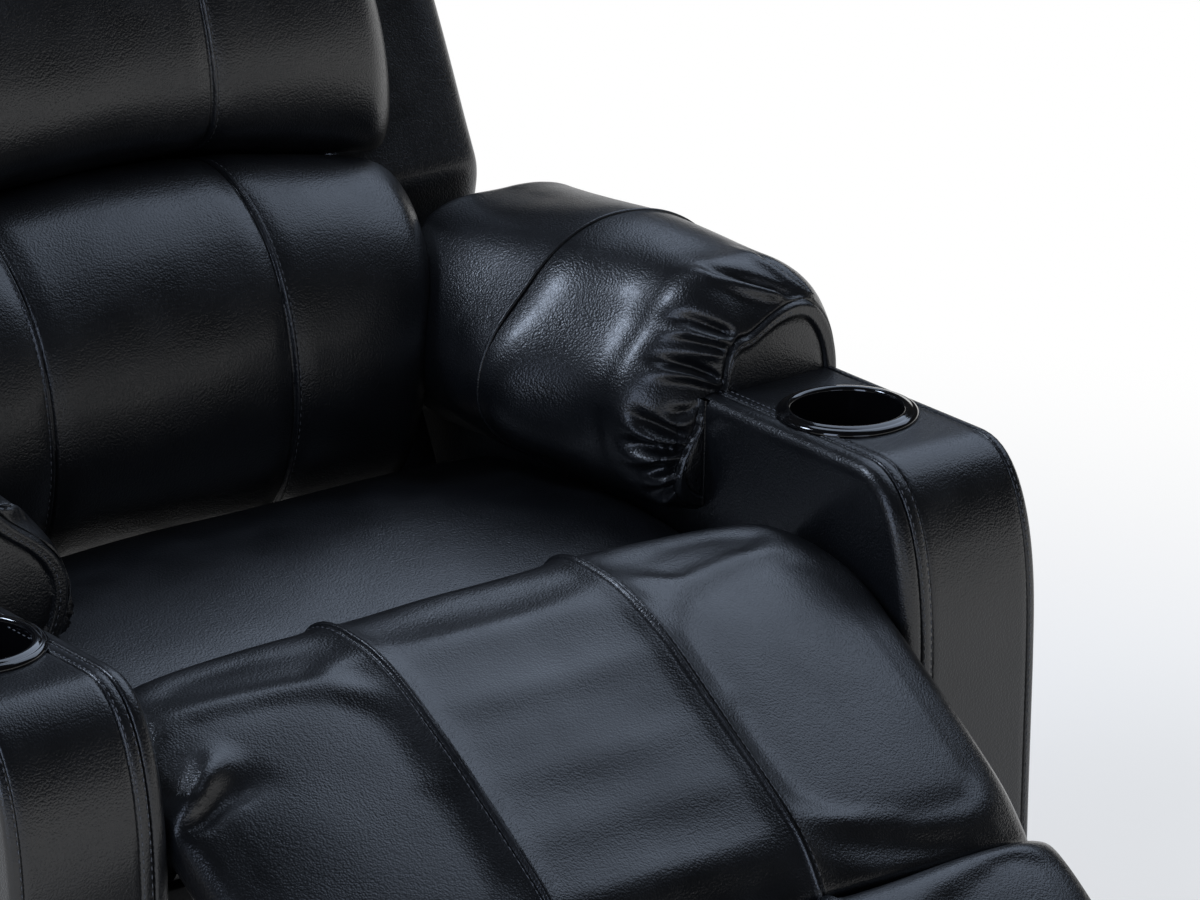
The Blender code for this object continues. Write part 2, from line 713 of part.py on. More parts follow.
def make_seat():
    """Seat rails, zigzag springs and the seat cushion."""
    end = SIDE_PLATE_X - TOUCH
    for name, front in (("seat_rail_front", FRONT_RAIL), ("seat_rail_rear", REAR_RAIL)):
        rail = box(name, (-end, front, RAIL_BOTTOM), (end, front + RAIL_DEPTH, RAIL_TOP), WOOD)
        if front == FRONT_RAIL:
            cut_link_ways(rail)

    start, finish = FRONT_RAIL + RAIL_DEPTH / 3, REAR_RAIL + RAIL_DEPTH * 2 / 3
    level = RAIL_TOP + TOUCH + SPRING_WIRE
    steps = SPRING_WAVES * 4
    for index in range(SPRING_COUNT):
        middle = (index - (SPRING_COUNT - 1) / 2) * SPRING_SPREAD
        points = []
        for step in range(steps + 1):
            swing = SPRING_SWING * math.sin(math.pi * step / 2)
            points.append((middle + swing, start + (finish - start) * step / steps, level))
        wire("seat_spring_" + str(index + 1), points, SPRING_WIRE, STEEL)

    step_start, step_end = SEAT_VALLEY + SEAT_STEP_START, SEAT_VALLEY + SEAT_STEP_END
    places = ((0.0, SEAT_FRONT), (0.3, step_start), (0.4, step_end), (1.0, SEAT_REAR))

    def shape_of(u, v, w):
        share = (v + 1) / 2
        y = between(places, share)
        crown = SEAT_CROWN * (1 - u**2)
        top = SEAT_STEP + (SEAT_TOP - SEAT_CROWN / 2 + crown - SEAT_STEP) * smooth_step(0.3, 0.4, share)
        z = SEAT_BOTTOM + (top - SEAT_BOTTOM) * (w + 1) / 2
        y += SEAT_FRONT_SLOPE * (1 - w) / 2 * (1 - smooth_step(0.0, 0.15, share))
        half = SEAT_HALF * (1 - SOFT_DRAW * w**2)
        return Vector((u * half, y, z))

    seat = form("seat_cushion", (6, 10, 2), shape_of, LEATHER)
    notch_top = PIVOT_A2[1] + LINK_WIDTH / 2 + LINK_SPACE
    for side, label in ((1, "left"), (-1, "right")):
        inner = side * (BRACKET_X - PIN_HEAD - LINK_SPACE)
        low, high = sorted((inner, side * (ARM_IN + CUTTER_REACH)))
        notch = box_mesh(
            (low, SEAT_FRONT - CUTTER_REACH, SEAT_BOTTOM - CUTTER_REACH),
            (high, SEAT_REAR + CUTTER_REACH, notch_top))
        cut(seat, "link_space_" + label, notch)


def cut_link_ways(rail):
    """Cuts the rail's ends back where the idler links reach with the footrest fully open."""
    link_end = moved(PIVOT_A2, opened(FOOT_ARM, FOOT_TURN_OPEN))
    way = strip((PIVOT_A2, link_end), LINK_WIDTH + 2 * LINK_SPACE)
    for side, label in ((1, "left"), (-1, "right")):
        low, high = sorted((side * (OUTER_LINK_X - LINK_SPACE), side * ARM_IN))
        cut(rail, "link_way_" + label, extruded_mesh(way, low, high))


def wire(name, points, radius, kind, frame=None):
    """A round wire along points, made a closed mesh."""
    curve = bpy.data.curves.new(name, "CURVE")
    curve.dimensions = "3D"
    curve.bevel_depth = radius
    curve.bevel_resolution = 0
    curve.use_fill_caps = True
    spline = curve.splines.new("POLY")
    spline.points.add(len(points) - 1)
    for point, place in zip(spline.points, points):
        point.co = (*place, 1.0)
    helper = bpy.data.objects.new(name + "_line", curve)
    CUTTERS.objects.link(helper)
    graph = bpy.context.evaluated_depsgraph_get()
    mesh = bpy.data.meshes.new_from_object(helper.evaluated_get(graph))
    bpy.data.objects.remove(helper, do_unlink=True)
    shape = bmesh.new()
    shape.from_mesh(mesh)
    bmesh.ops.remove_doubles(shape, verts=shape.verts, dist=0.00001)
    return placed(name, from_bmesh(shape), kind, frame, smooth=True)


def strip(points, width):
    """The outline of a flat link through its pivots, in a straight line, with round ends."""
    first, last = Vector(points[0]), Vector(points[-1])
    angle = math.degrees(math.atan2(*(last - first).yx))
    radii = (width / 2, width / 2)
    return arc(last, radii, angle - 90, angle + 90, 6) + arc(first, radii, angle + 90, angle + 270, 6)


def make_link(name, side, points, x, frame, holes=(), pins=()):
    """A flat steel link with bored holes, and riveted pins that run from x to x."""
    low, high = sorted((side * x, side * (x + PLATE_THICKNESS)))
    bores = [circle(place, PIN_RADIUS + PIN_PLAY) for place in holes]
    link = extruded(name, strip(points, LINK_WIDTH), low, high, STEEL, frame, bores)
    for number, (place, start, end, head_at) in enumerate(pins):
        add_pin(link, name + "_pin_" + str(number), side, place, start, end, head_at, frame)
    return link


def add_pin(item, name, side, place, start, end, head_at, frame):
    """A pin with a head, fused to a plate. Its start lies inside the plate's thickness."""
    a, b = (side * start, *place), (side * end, *place)
    join(item, name, cylinder_mesh(a, b, PIN_RADIUS, 10), frame)
    head_end = head_at + math.copysign(PIN_HEAD_THICKNESS, end - start)
    c, d = (side * head_at, *place), (side * head_end, *place)
    join(item, name + "_head", cylinder_mesh(c, d, PIN_HEAD, 10), frame)


def make_linkage(side, label):
    """Four links and a bracket on one side, which turn the footrest about the knee line."""
    middle_outer = OUTER_LINK_X + PLATE_THICKNESS / 2
    middle_inner = INNER_LINK_X + PLATE_THICKNESS / 2
    past_plate = SIDE_PLATE_X + PLATE_THICKNESS + PIN_HEAD_GAP
    past_arm = INNER_LINK_X - PIN_HEAD_GAP
    past_bracket = BRACKET_X - PIN_HEAD_GAP
    whole = PIN_HEAD_THICKNESS + PIN_STUB

    outward = (middle_outer, past_plate + whole, past_plate)
    inward = (middle_outer, past_arm - PIN_HEAD_THICKNESS + PIN_HEAD_GAP / 2, past_arm)
    to_foot = (middle_inner, past_bracket - whole, past_bracket)

    make_link(
        "drive_link_" + label, side, (PIVOT_A, PIVOT_B), OUTER_LINK_X, DRIVE_LINKS,
        pins=((PIVOT_A, *outward), (PIVOT_B2, *inward), (PIVOT_B, *inward)))
    make_link(
        "idler_link_" + label, side, (PIVOT_A2, PIVOT_E), OUTER_LINK_X, IDLER_LINKS,
        pins=((PIVOT_A2, *outward), (PIVOT_E2, *inward), (PIVOT_E, *inward)))
    make_link(
        "lower_arm_" + label, side, (PIVOT_B, PIVOT_C), INNER_LINK_X, LOWER_ARMS,
        holes=(PIVOT_B, PIVOT_E), pins=((PIVOT_C, *to_foot),))
    make_link(
        "upper_arm_" + label, side, (PIVOT_B2, PIVOT_C2), INNER_LINK_X, UPPER_ARMS,
        holes=(PIVOT_B2, PIVOT_E2), pins=((PIVOT_C2, *to_foot),))
    make_foot_bracket(side, label)


def make_foot_bracket(side, label):
    """The plate under the footrest's board that the link ends turn in."""
    reach = BRACKET_RIM
    back = BOARD_THICKNESS + TOUCH
    along_c = BOARD_STOWED_TOP[1] - (KNEE[1] + KNEE_TO_FOOT_PIVOT_STOWED[1])
    out_c = KNEE[0] + KNEE_TO_FOOT_PIVOT_STOWED[0] - BOARD_STOWED_TOP[0]
    edge = back + PLATE_THICKNESS / 2
    corner = (
        on_board(along_c - BRACKET_UP, -edge), on_board(along_c + BRACKET_DOWN, -edge),
        on_board(along_c + reach, -out_c - reach), on_board(along_c - reach, -out_c - reach))
    low, high = sorted((side * BRACKET_X, side * (BRACKET_X + PLATE_THICKNESS)))
    holes = [circle(place, PIN_RADIUS + PIN_PLAY) for place in (PIVOT_C, PIVOT_C2)]
    item = extruded("footrest_bracket_" + label, corner, low, high, STEEL, FOOTREST, holes)
    start, end = along_c - BRACKET_UP - FLANGE_OVERHANG, along_c + BRACKET_DOWN + FLANGE_OVERHANG
    flange = [
        on_board(start, -back), on_board(end, -back),
        on_board(end, -back - PLATE_THICKNESS), on_board(start, -back - PLATE_THICKNESS)]
    flange_outer = BRACKET_X + PLATE_THICKNESS + UNION_STEP
    low, high = sorted((side * (BRACKET_X - BRACKET_FLANGE), side * flange_outer))
    join(item, "bracket_flange_" + label, extruded_mesh(flange, low, high), FOOTREST)


def make_side_plate(side, label):
    """The mechanism's side plate, with flanges that reach out to the arm."""
    rear = BACK_PIVOT[0] + PLATE_TAIL
    front = FRONT_RAIL - PLATE_NOSE
    top = PIVOT_A2[1] + PLATE_RIM
    bottom = RAIL_BOTTOM - PLATE_DROP
    low_corner = rear - PLATE_CORNER_CUT
    outline = (
        (front, RAIL_BOTTOM - PLATE_NOSE_DROP), (FRONT_RAIL + RAIL_DEPTH, bottom), (low_corner, bottom),
        (rear, BACK_PIVOT[1] - PLATE_TAIL), (rear, BACK_PIVOT[1] + PLATE_RIM),
        (rear - PLATE_CORNER, BACK_PIVOT[1] + 2 * PLATE_RIM),
        (FRONT_RAIL + RAIL_DEPTH, top), (front, RAIL_TOP + PLATE_NOSE_RISE))
    holes = [circle(place, PIN_RADIUS + PIN_PLAY) for place in (PIVOT_A, PIVOT_A2, BACK_PIVOT)]
    low, high = sorted((side * SIDE_PLATE_X, side * (SIDE_PLATE_X + PLATE_THICKNESS)))
    item = extruded("side_plate_" + label, outline, low, high, STEEL, None, holes)
    half = PLATE_THICKNESS / 2
    front, back = FRONT_RAIL + RAIL_DEPTH + half, low_corner - half
    low, high = sorted((side * (SIDE_PLATE_X + half), side * (ARM_IN - TOUCH - half)))
    flange = box_mesh((low, front + half, bottom + half), (high, back - half, bottom + 3 * half))
    join(item, "plate_flange_" + label, flange)
    low, high = sorted((side * (ARM_IN - TOUCH - PLATE_THICKNESS), side * (ARM_IN - TOUCH)))
    lug = box_mesh((low, front, bottom), (high, back, bottom + PLATE_LUG))
    join(item, "plate_lug_" + label, lug)


def make_footrest():
    """The board, and the pad on it."""
    board = [
        on_board(0.0, -BOARD_THICKNESS), on_board(0.0, 0.0), on_board(BOARD_LENGTH, 0.0),
        on_board(BOARD_LENGTH, -BOARD_THICKNESS)]
    extruded("footrest_board", board, -BOARD_HALF, BOARD_HALF, WOOD, FOOTREST)

    end = BOARD_LENGTH + FOOT_PAD_OVERHANG
    top = through([(PAD_START, CHAISE_END[1] + LINK_SPACE), *FOOT_PAD_PROFILE, (end, TOUCH)])
    bottom = through([(PAD_START, TOUCH), (end - LINK_SPACE, TOUCH)])
    across = seam_stations(PAD_SEAM / PAD_HALF)

    def shape_of(u, v, w):
        share = (v + 1) / 2
        x = across(u) * PAD_HALF
        high, low = top(share), bottom(share)
        drop = channel(x, PAD_SEAM, SEAM_DEPTH) + PAD_SIDE_DROP * abs(u) ** 6
        t = (w + 1) / 2
        along = low[0] + (high[0] - low[0]) * t
        out = low[1] + (max(high[1] - drop, 0.01) - low[1]) * t
        x *= 1 - SOFT_DRAW * w**2
        y, z = on_board(along, out)
        return Vector((x, y, z))

    form("footrest_pad", (8, 6, 2), shape_of, LEATHER, FOOTREST)


def make_chaise_pad():
    """The pad that bridges from the seat to the footrest and bends as the footrest turns."""
    lift = CHAISE_LIFT
    top = through([(y, SEAT_STEP + z) for y, z in CHAISE_PROFILE] + [on_board(*CHAISE_END)])
    under = through([
        (CHAISE_PROFILE[0][0], SEAT_STEP + lift), (SEAT_FRONT + SEAT_FRONT_SLOPE, SEAT_STEP + lift),
        (SEAT_FRONT - 0.01, SEAT_STEP), on_board(-0.10, lift), on_board(CHAISE_END[0], lift)])
    across = seam_stations(PAD_SEAM / PAD_HALF)

    def shape_of(u, v, w):
        share = (v + 1) / 2
        x = across(u) * PAD_HALF
        high, low = Vector(top(share)), Vector(under(share))
        t = (w + 1) / 2
        drop = channel(x, PAD_SEAM, SEAM_DEPTH) + CHAISE_SIDE_DROP * abs(u) ** 6
        way = (high - low).normalized()
        place = low + (high - way * drop - low) * t
        x *= 1 - SOFT_DRAW * w**2
        return Vector((x, place.x, place.y))

    form("chaise_pad", (8, 8, 2), shape_of, LEATHER, CHAIR)


def back_outline(low_half, high_half, top, bottom):
    """A board of the back, with one width between the arms and another above them."""
    shoulder = BACK_SHOULDER
    right = [(low_half, bottom), (low_half, shoulder - abs(high_half - low_half)), (high_half, shoulder)]
    right += arc((high_half - BACK_CORNER, top - BACK_CORNER), (BACK_CORNER, BACK_CORNER), 0, 90, 4)
    return right + [(-x, y) for x, y in reversed(right)]


def make_back():
    """Board, rear skin, wings, pillows, hinge brackets and cross shaft."""
    board = back_outline(
        BACK_BRACKET_X - TOUCH, WING_IN - TOUCH, BACK_HEIGHT - BACK_BOARD_TOP_GAP, BACK_BOARD_BOTTOM)
    extruded("back_board", board, BACK_BOARD_REAR, BACK_BOARD_FRONT, WOOD, BACK, matrix=BACK_MATRIX)
    skin = back_outline(ARM_IN - LINK_SPACE, WING_OUT - LINK_SPACE, BACK_HEIGHT, -BACK_BOARD_BOTTOM)
    rear = extruded(
        "back_rear_panel", skin, BACK_BOARD_REAR - TOUCH - BACK_SKIN, BACK_BOARD_REAR - TOUCH, LEATHER, BACK,
        matrix=BACK_MATRIX)
    rounded(rear, BACK_SKIN_EDGE, 2)

    for side, label in ((1, "left"), (-1, "right")):
        make_wing(side, label)
        make_back_bracket(side, label)

    cylinder(
        "back_shaft", (-(BACK_BRACKET_X - TOUCH), *BACK_SHAFT_CENTRE),
        (BACK_BRACKET_X - TOUCH, *BACK_SHAFT_CENTRE), BACK_SHAFT_RADIUS, STEEL, BACK)

    floor = BACK_BOARD_FRONT + TOUCH
    make_back_pillow("lumbar_pillow", LUMBAR_PROFILE, LUMBAR_HALF, floor)
    make_back_pillow("head_pillow", HEAD_PROFILE, HEAD_HALF, floor)


def make_back_pillow(name, profile, half, floor):
    front = through(profile)
    start, end = profile[0][0], profile[-1][0]
    across = seam_stations(BACK_SEAM / half)

    def shape_of(u, v, w):
        share = (v + 1) / 2
        x = across(u) * half
        high = front(share)
        low = (start + (end - start) * share, floor)
        t = (w + 1) / 2
        drop = channel(x, BACK_SEAM, SEAM_DEPTH) + BACK_SIDE_DROP * abs(u) ** 5
        up = low[0] + (high[0] - low[0]) * t
        out = low[1] + (max(high[1] - drop, floor + 0.01) - low[1]) * t
        corner = BACK_PILLOW_CORNER * abs(v) ** 6
        x = math.copysign(max(abs(x) - corner * abs(u) ** 3, 0.0), x)
        x *= 1 - 0.03 * (1 - w) / 2
        y, z = on_back(up, out)
        return Vector((x, y, z))

    form(name, (8, 6, 2), shape_of, LEATHER, BACK)


def make_wing(side, label):
    """The padded side of the back, beside the pillows and above the arm."""
    low, high = WING_START, BACK_HEIGHT - BACK_SKIN_EDGE

    def shape_of(u, v, w):
        share = (v + 1) / 2
        up = low + (high - low) * share
        foot, crest = 1 - smooth_step(0.0, 0.12, share), smooth_step(0.85, 1.0, share)
        narrow = WING_FOOT_NARROW * foot + WING_TOP_NARROW * crest
        x = WING_IN + (WING_OUT - narrow - WING_IN) * (u + 1) / 2
        front = WING_FRONT - WING_FOOT_THIN * foot - WING_TOP_THIN * crest
        out = BACK_BOARD_REAR + TOUCH + (front - BACK_BOARD_REAR - TOUCH) * (w + 1) / 2
        out -= WING_SIDE_DROP * max(0.0, u) ** 4 * (w + 1) / 2
        y, z = on_back(up, out)
        return Vector((side * x, y, z))

    form("back_wing_" + label, (2, 6, 2), shape_of, LEATHER, BACK)


def make_back_bracket(side, label):
    """The steel arm that the back hinges on, from the cross shaft up to the board's edge."""
    half = BACK_BRACKET_WIDTH / 2
    out = (BACK_BOARD_REAR + BACK_BOARD_FRONT) / 2
    spine = [BACK_SHAFT_CENTRE, BACK_PIVOT, on_back(BACK_BRACKET_BEND, out), on_back(BACK_BRACKET_TOP, out)]
    left, right = [], []
    for index, place in enumerate(spine):
        ahead = Vector(spine[min(index + 1, len(spine) - 1)]) - Vector(spine[max(index - 1, 0)])
        normal = Vector((-ahead.y, ahead.x)).normalized() * half
        left.append(tuple(Vector(place) + normal))
        right.append(tuple(Vector(place) - normal))
    low, high = sorted((side * BACK_BRACKET_X, side * (BACK_BRACKET_X + PLATE_THICKNESS)))
    item = extruded("back_bracket_" + label, left + right[::-1], low, high, STEEL, BACK)
    middle = BACK_BRACKET_X + PLATE_THICKNESS / 2
    past_plate = SIDE_PLATE_X + PLATE_THICKNESS + PIN_HEAD_GAP
    add_pin(
        item, "back_pin_" + label, side, BACK_PIVOT, middle, past_plate + PIN_HEAD_THICKNESS + PIN_STUB,
        past_plate, BACK)


def shaft_places(hinge, centre, turns):
    """Where a cross shaft's centre is at each of these turns from rest."""
    arm = (centre[0] - hinge[0], centre[1] - hinge[1])
    return [moved(hinge, opened(arm, turn)) for turn in turns]


def make_drive(name, x, towards, hinge, shaft, turns, radius, frame):
    """A linear drive under the rear seat rail, whose yoke carries a cross shaft along Y.

    towards is -1 where the yoke is ahead of the housing and 1 where it is behind it.
    """
    wide, long, tall = DRIVE_HOUSING
    top, axis = DRIVE_TOP, DRIVE_AXIS
    if towards > 0:
        near = REAR_RAIL + (RAIL_DEPTH + long) / 2 - BACK_DRIVE_SET_IN
        length = BACK_DRIVE_TUBE_LENGTH
    else:
        near = BACK_SHAFT_FORWARD - LINK_SPACE - long
        length = FOOT_DRIVE_TUBE_LENGTH
    far = near - towards * long
    low, high = sorted((near, far))
    housing = box(name + "_motor", (x - wide / 2, low, top - tall), (x + wide / 2, high, top), PLASTIC)
    centre = (low + high) / 2
    floor = top - tall
    motor = cylinder_mesh(
        (x, centre, floor + MOTOR_SUNK), (x, centre, floor - DRIVE_MOTOR_LENGTH), DRIVE_MOTOR_RADIUS, 20)
    join(housing, name + "_motor_can", motor)

    tube_end = near + towards * length
    tube = cylinder(
        name + "_tube", (x, near + towards * TOUCH, axis), (x, tube_end, axis), DRIVE_TUBE_RADIUS, STEEL)
    bore = cylinder_mesh(
        (x, near - towards * DRIVE_BORE_DEPTH, axis), (x, tube_end + towards * CUTTER_REACH, axis),
        DRIVE_ROD_RADIUS + TOUCH, 16)
    cutter = placed(name + "_bore", bore, None)
    combined(tube, cutter, "DIFFERENCE")
    combined(housing, cutter, "DIFFERENCE")

    y = shaft[0]
    heights = [place[1] for place in shaft_places(hinge, shaft, turns)]
    slot_floor = min(heights) - radius - YOKE_PLAY / 2
    top = max(*heights, axis + DRIVE_ROD_RADIUS) + radius / 2
    bottom = min(slot_floor - YOKE_WALL, axis - DRIVE_ROD_RADIUS - YOKE_FOOT)
    half = radius + YOKE_PLAY + YOKE_WALL
    slot = half - YOKE_WALL
    yoke = [
        (y - half, bottom), (y + half, bottom), (y + half, top), (y + slot, top),
        (y + slot, slot_floor), (y - slot, slot_floor), (y - slot, top), (y - half, top)]
    item = extruded(name + "_yoke", yoke, x - YOKE_THICKNESS / 2, x + YOKE_THICKNESS / 2, STEEL, frame)
    rod = cylinder_mesh(
        (x, y - towards * (half - ROD_IN_YOKE), axis), (x, near - towards * ROD_LEFT_IN, axis),
        DRIVE_ROD_RADIUS, 16)
    join(item, name + "_rod", rod, frame)


def make_base():
    """Cross members between the arms, the rear panel and the power inlet."""
    end = ARM_IN - TOUCH
    box(
        "base_tie_front", (-end, TIE_FRONT, ARM_BOTTOM),
        (end, TIE_FRONT + TIE_DEPTH, ARM_BOTTOM + TIE_HEIGHT), WOOD)
    panel = box(
        "rear_panel", (-end, REAR_PANEL_PLACE, REAR_PANEL_BOTTOM),
        (end, REAR_PANEL_PLACE + REAR_PANEL_THICKNESS, REAR_PANEL_TOP), LEATHER)
    x, z = INLET_PLACE
    outside = REAR_PANEL_PLACE + REAR_PANEL_THICKNESS
    hole = cylinder_mesh(
        (x, REAR_PANEL_PLACE - CUTTER_REACH, z), (x, outside + CUTTER_REACH, z),
        INLET_BARREL_RADIUS + TOUCH, 20)
    cut(panel, "inlet_hole", hole)
    inlet = cylinder(
        "power_inlet", (x, outside + TOUCH, z), (x, outside + TOUCH + INLET_FLANGE, z), INLET_RADIUS, PLASTIC,
        sides=20)
    barrel = cylinder_mesh(
        (x, outside + UNION_STEP, z), (x, REAR_PANEL_PLACE - INLET_BARREL_REACH, z), INLET_BARREL_RADIUS, 20)
    join(inlet, "inlet_barrel", barrel)
    bore = cylinder_mesh(
        (x, outside + CUTTER_REACH, z), (x, REAR_PANEL_PLACE + INLET_BORE_FLOOR, z), INLET_BORE, 16)
    cut(inlet, "inlet_bore", bore)


def centred(chair):
    """Moves the chair so that the middle of its floor box is the origin."""
    bpy.context.view_layer.update()
    graph = bpy.context.evaluated_depsgraph_get()
    low, high = Vector((9, 9, 9)), Vector((-9, -9, -9))
    for item in PARTS.objects:
        if item.type != "MESH":
            continue
        ready = item.evaluated_get(graph)
        for vertex in ready.data.vertices:
            place = ready.matrix_world @ vertex.co
            low = Vector(map(min, low, place))
            high = Vector(map(max, high, place))
    chair.location = (0.0, -(low.y + high.y) / 2, -low.z)
    bpy.context.view_layer.update()
    print("box", [round(value, 4) for value in (*low, *high)])
    print("moved by", round(chair.location.y, 5), round(chair.location.z, 5))
    for item in PARTS.objects:
        if item.type == "EMPTY":
            print("empty", item.name, [round(value, 5) for value in item.matrix_world.translation])


LEATHER = material("black_leather", (0.018, 0.019, 0.021), 0.42)
GLOSS = material("gloss_black_plastic", (0.012, 0.012, 0.013), 0.15)
PLASTIC = material("black_plastic", (0.03, 0.03, 0.03), 0.5)
WOOD = material("plywood", (0.55, 0.40, 0.24), 0.7)
STEEL = material("black_steel", (0.06, 0.06, 0.065), 0.4, 0.8)

CHAIR = empty("recliner", (0.0, 0.0, 0.0))
FOOTREST = pivot("footrest_hinge", KNEE)
DRIVE_LINKS = pivot("drive_link_hinge", PIVOT_A)
IDLER_LINKS = pivot("idler_link_hinge", PIVOT_A2)
LOWER_ARMS = pivot("lower_arm_hinge", PIVOT_B)
UPPER_ARMS = pivot("upper_arm_hinge", PIVOT_B2)
FOOT_DRIVE = pivot("footrest_drive_slide", (TORQUE_CENTRE[0], DRIVE_AXIS), -DRIVE_SPREAD)
BACK = pivot("back_hinge", BACK_PIVOT)
BACK_DRIVE = pivot("back_drive_slide", (BACK_SHAFT_CENTRE[0], DRIVE_AXIS), DRIVE_SPREAD)

for arm_side, arm_label in ((1, "left"), (-1, "right")):
    make_arm(arm_side, arm_label)
    make_linkage(arm_side, arm_label)
    make_side_plate(arm_side, arm_label)
cylinder(
    "torque_tube", (-(OUTER_LINK_X - TOUCH), *TORQUE_CENTRE), (OUTER_LINK_X - TOUCH, *TORQUE_CENTRE),
    TORQUE_RADIUS, STEEL, DRIVE_LINKS)
make_seat()
make_footrest()
make_chaise_pad()
make_back()
foot_turns = (-FOOT_TURN_REST, 0.0, FOOT_TURN_OPEN, -math.degrees(math.atan(FOOT_ARM[0] / FOOT_ARM[1])))
back_turns = (-BACK_TURN_UP, 0.0, BACK_TURN_DOWN, BACK_MIDDLE_TURN)
make_drive(
    "footrest_drive", -DRIVE_SPREAD, -1, PIVOT_A, TORQUE_CENTRE, foot_turns, TORQUE_RADIUS, FOOT_DRIVE)
make_drive(
    "back_drive", DRIVE_SPREAD, 1, BACK_PIVOT, BACK_SHAFT_CENTRE, back_turns, BACK_SHAFT_RADIUS, BACK_DRIVE)
make_base()
make_controls()
centred(CHAIR)
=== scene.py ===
import json
import math

import bmesh
import bpy
import numpy as np
from mathutils import Matrix, Vector, noise
from mathutils.bvhtree import BVHTree


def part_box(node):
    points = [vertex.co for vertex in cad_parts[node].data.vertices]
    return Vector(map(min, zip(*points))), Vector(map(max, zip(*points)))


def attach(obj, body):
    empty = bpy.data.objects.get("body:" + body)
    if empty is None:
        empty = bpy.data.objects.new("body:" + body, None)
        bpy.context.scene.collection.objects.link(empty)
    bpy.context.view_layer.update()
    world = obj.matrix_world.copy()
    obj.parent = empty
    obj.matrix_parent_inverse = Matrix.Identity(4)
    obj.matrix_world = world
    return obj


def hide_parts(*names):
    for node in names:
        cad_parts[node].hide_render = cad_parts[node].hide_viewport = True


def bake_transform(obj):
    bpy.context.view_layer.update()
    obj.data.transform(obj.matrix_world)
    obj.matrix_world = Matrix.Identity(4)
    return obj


# Power recliner in black bonded leather. Every piece is laid out with Y = 0 at the front of the arms
# and is moved to the part's own frame at the end of its making.
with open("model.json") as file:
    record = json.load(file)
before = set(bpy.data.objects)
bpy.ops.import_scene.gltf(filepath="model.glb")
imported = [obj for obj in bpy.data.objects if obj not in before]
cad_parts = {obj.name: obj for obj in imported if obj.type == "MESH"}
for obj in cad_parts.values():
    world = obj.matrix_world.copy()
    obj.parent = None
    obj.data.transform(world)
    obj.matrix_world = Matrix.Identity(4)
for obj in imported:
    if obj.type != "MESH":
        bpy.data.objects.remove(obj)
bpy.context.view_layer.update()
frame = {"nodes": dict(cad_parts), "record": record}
scene = bpy.context.scene
armLow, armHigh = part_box("arm_cover_left")
armFront = armLow.y
print("frame loaded")


# Camera: the photograph's place and lens, fitted to the two cup holders, the arm and the seams
view = {"azimuth": -37.42, "elevation": 20.09, "distance": 4.884, "target": (0.1558, 0.15, 0.6315),
        "lens": 195.0, "sensor": 36.0, "photoWide": 1200, "photoTall": 900}


def makeCamera():
    data = bpy.data.cameras.new("camera")
    data.lens = view["lens"]
    data.sensor_width = view["sensor"]
    data.sensor_fit = "HORIZONTAL"
    data.clip_end = 60.0
    camera = bpy.data.objects.new("camera", data)
    scene.collection.objects.link(camera)
    turn, rise = math.radians(view["azimuth"]), math.radians(view["elevation"])
    away = Vector((math.sin(turn) * math.cos(rise), -math.cos(turn) * math.cos(rise), math.sin(rise)))
    target = Vector(view["target"])
    camera.location = target + away * view["distance"] + Vector((0, armFront, 0))
    camera.rotation_euler = (-away).to_track_quat("-Z", "Y").to_euler()
    scene.camera = camera
    bpy.context.view_layer.update()
    return camera


camera = makeCamera()


def photoRay(x, y):
    # the line of sight through a pixel of the 1200 x 900 photograph, in the layout's frame
    wide = view["sensor"] / view["lens"] / view["photoWide"]
    look = Vector(((x - view["photoWide"] / 2) * wide, (view["photoTall"] / 2 - y) * wide, -1.0))
    start = camera.matrix_world.translation - Vector((0, armFront, 0))
    return start, (camera.matrix_world.to_3x3() @ look).normalized()


# Materials
def linear(code):
    channels = [int(code[i:i + 2], 16) / 255 for i in (1, 3, 5)]
    return [c / 12.92 if c <= 0.04045 else ((c + 0.055) / 1.055) ** 2.4 for c in channels] + [1.0]


def addNode(tree, kind, values=None, links=None, **settings):
    node = tree.nodes.new(kind)
    for name, value in settings.items():
        setattr(node, name, value)
    for name, value in (values or {}).items():
        node.inputs[name].default_value = value
    for name, source in (links or {}).items():
        tree.links.new(source, node.inputs[name])
    return node


def newMaterial(name, **shaderValues):
    material = bpy.data.materials.new(name)
    material.use_nodes = True
    tree = material.node_tree
    shader = tree.nodes["Principled BSDF"]
    for socket, value in shaderValues.items():
        shader.inputs[socket.replace("_", " ")].default_value = value
    coords = addNode(tree, "ShaderNodeTexCoord").outputs["Object"]
    return material, tree, shader, coords


def addNoise(tree, coords, size, detail, distortion=0.0):
    values = {"Scale": 1 / size, "Detail": detail, "Distortion": distortion}
    return addNode(tree, "ShaderNodeTexNoise", values, {"Vector": coords})


def setColour(tree, shader, share, dark, pale):
    tones = {6: linear(dark), 7: linear(pale)}
    colour = addNode(tree, "ShaderNodeMix", tones, {0: share}, data_type="RGBA")
    tree.links.new(colour.outputs[2], shader.inputs["Base Color"])


def setRough(tree, shader, share, low, high, **span):
    values = {name.replace("_", " "): value for name, value in span.items()}
    rough = addNode(tree, "ShaderNodeMapRange", {**values, "To Min": low, "To Max": high}, {"Value": share})
    tree.links.new(rough.outputs["Result"], shader.inputs["Roughness"])


def setBump(tree, shader, height, depth, strength, below=None, invert=False):
    # a bump on top of the one below it; the last one made is the one the shader gets
    links = {"Height": height, "Normal": below} if below else {"Height": height}
    bump = addNode(tree, "ShaderNodeBump", {"Strength": strength, "Distance": depth}, links, invert=invert)
    tree.links.new(bump.outputs["Normal"], shader.inputs["Normal"])
    return bump.outputs["Normal"]


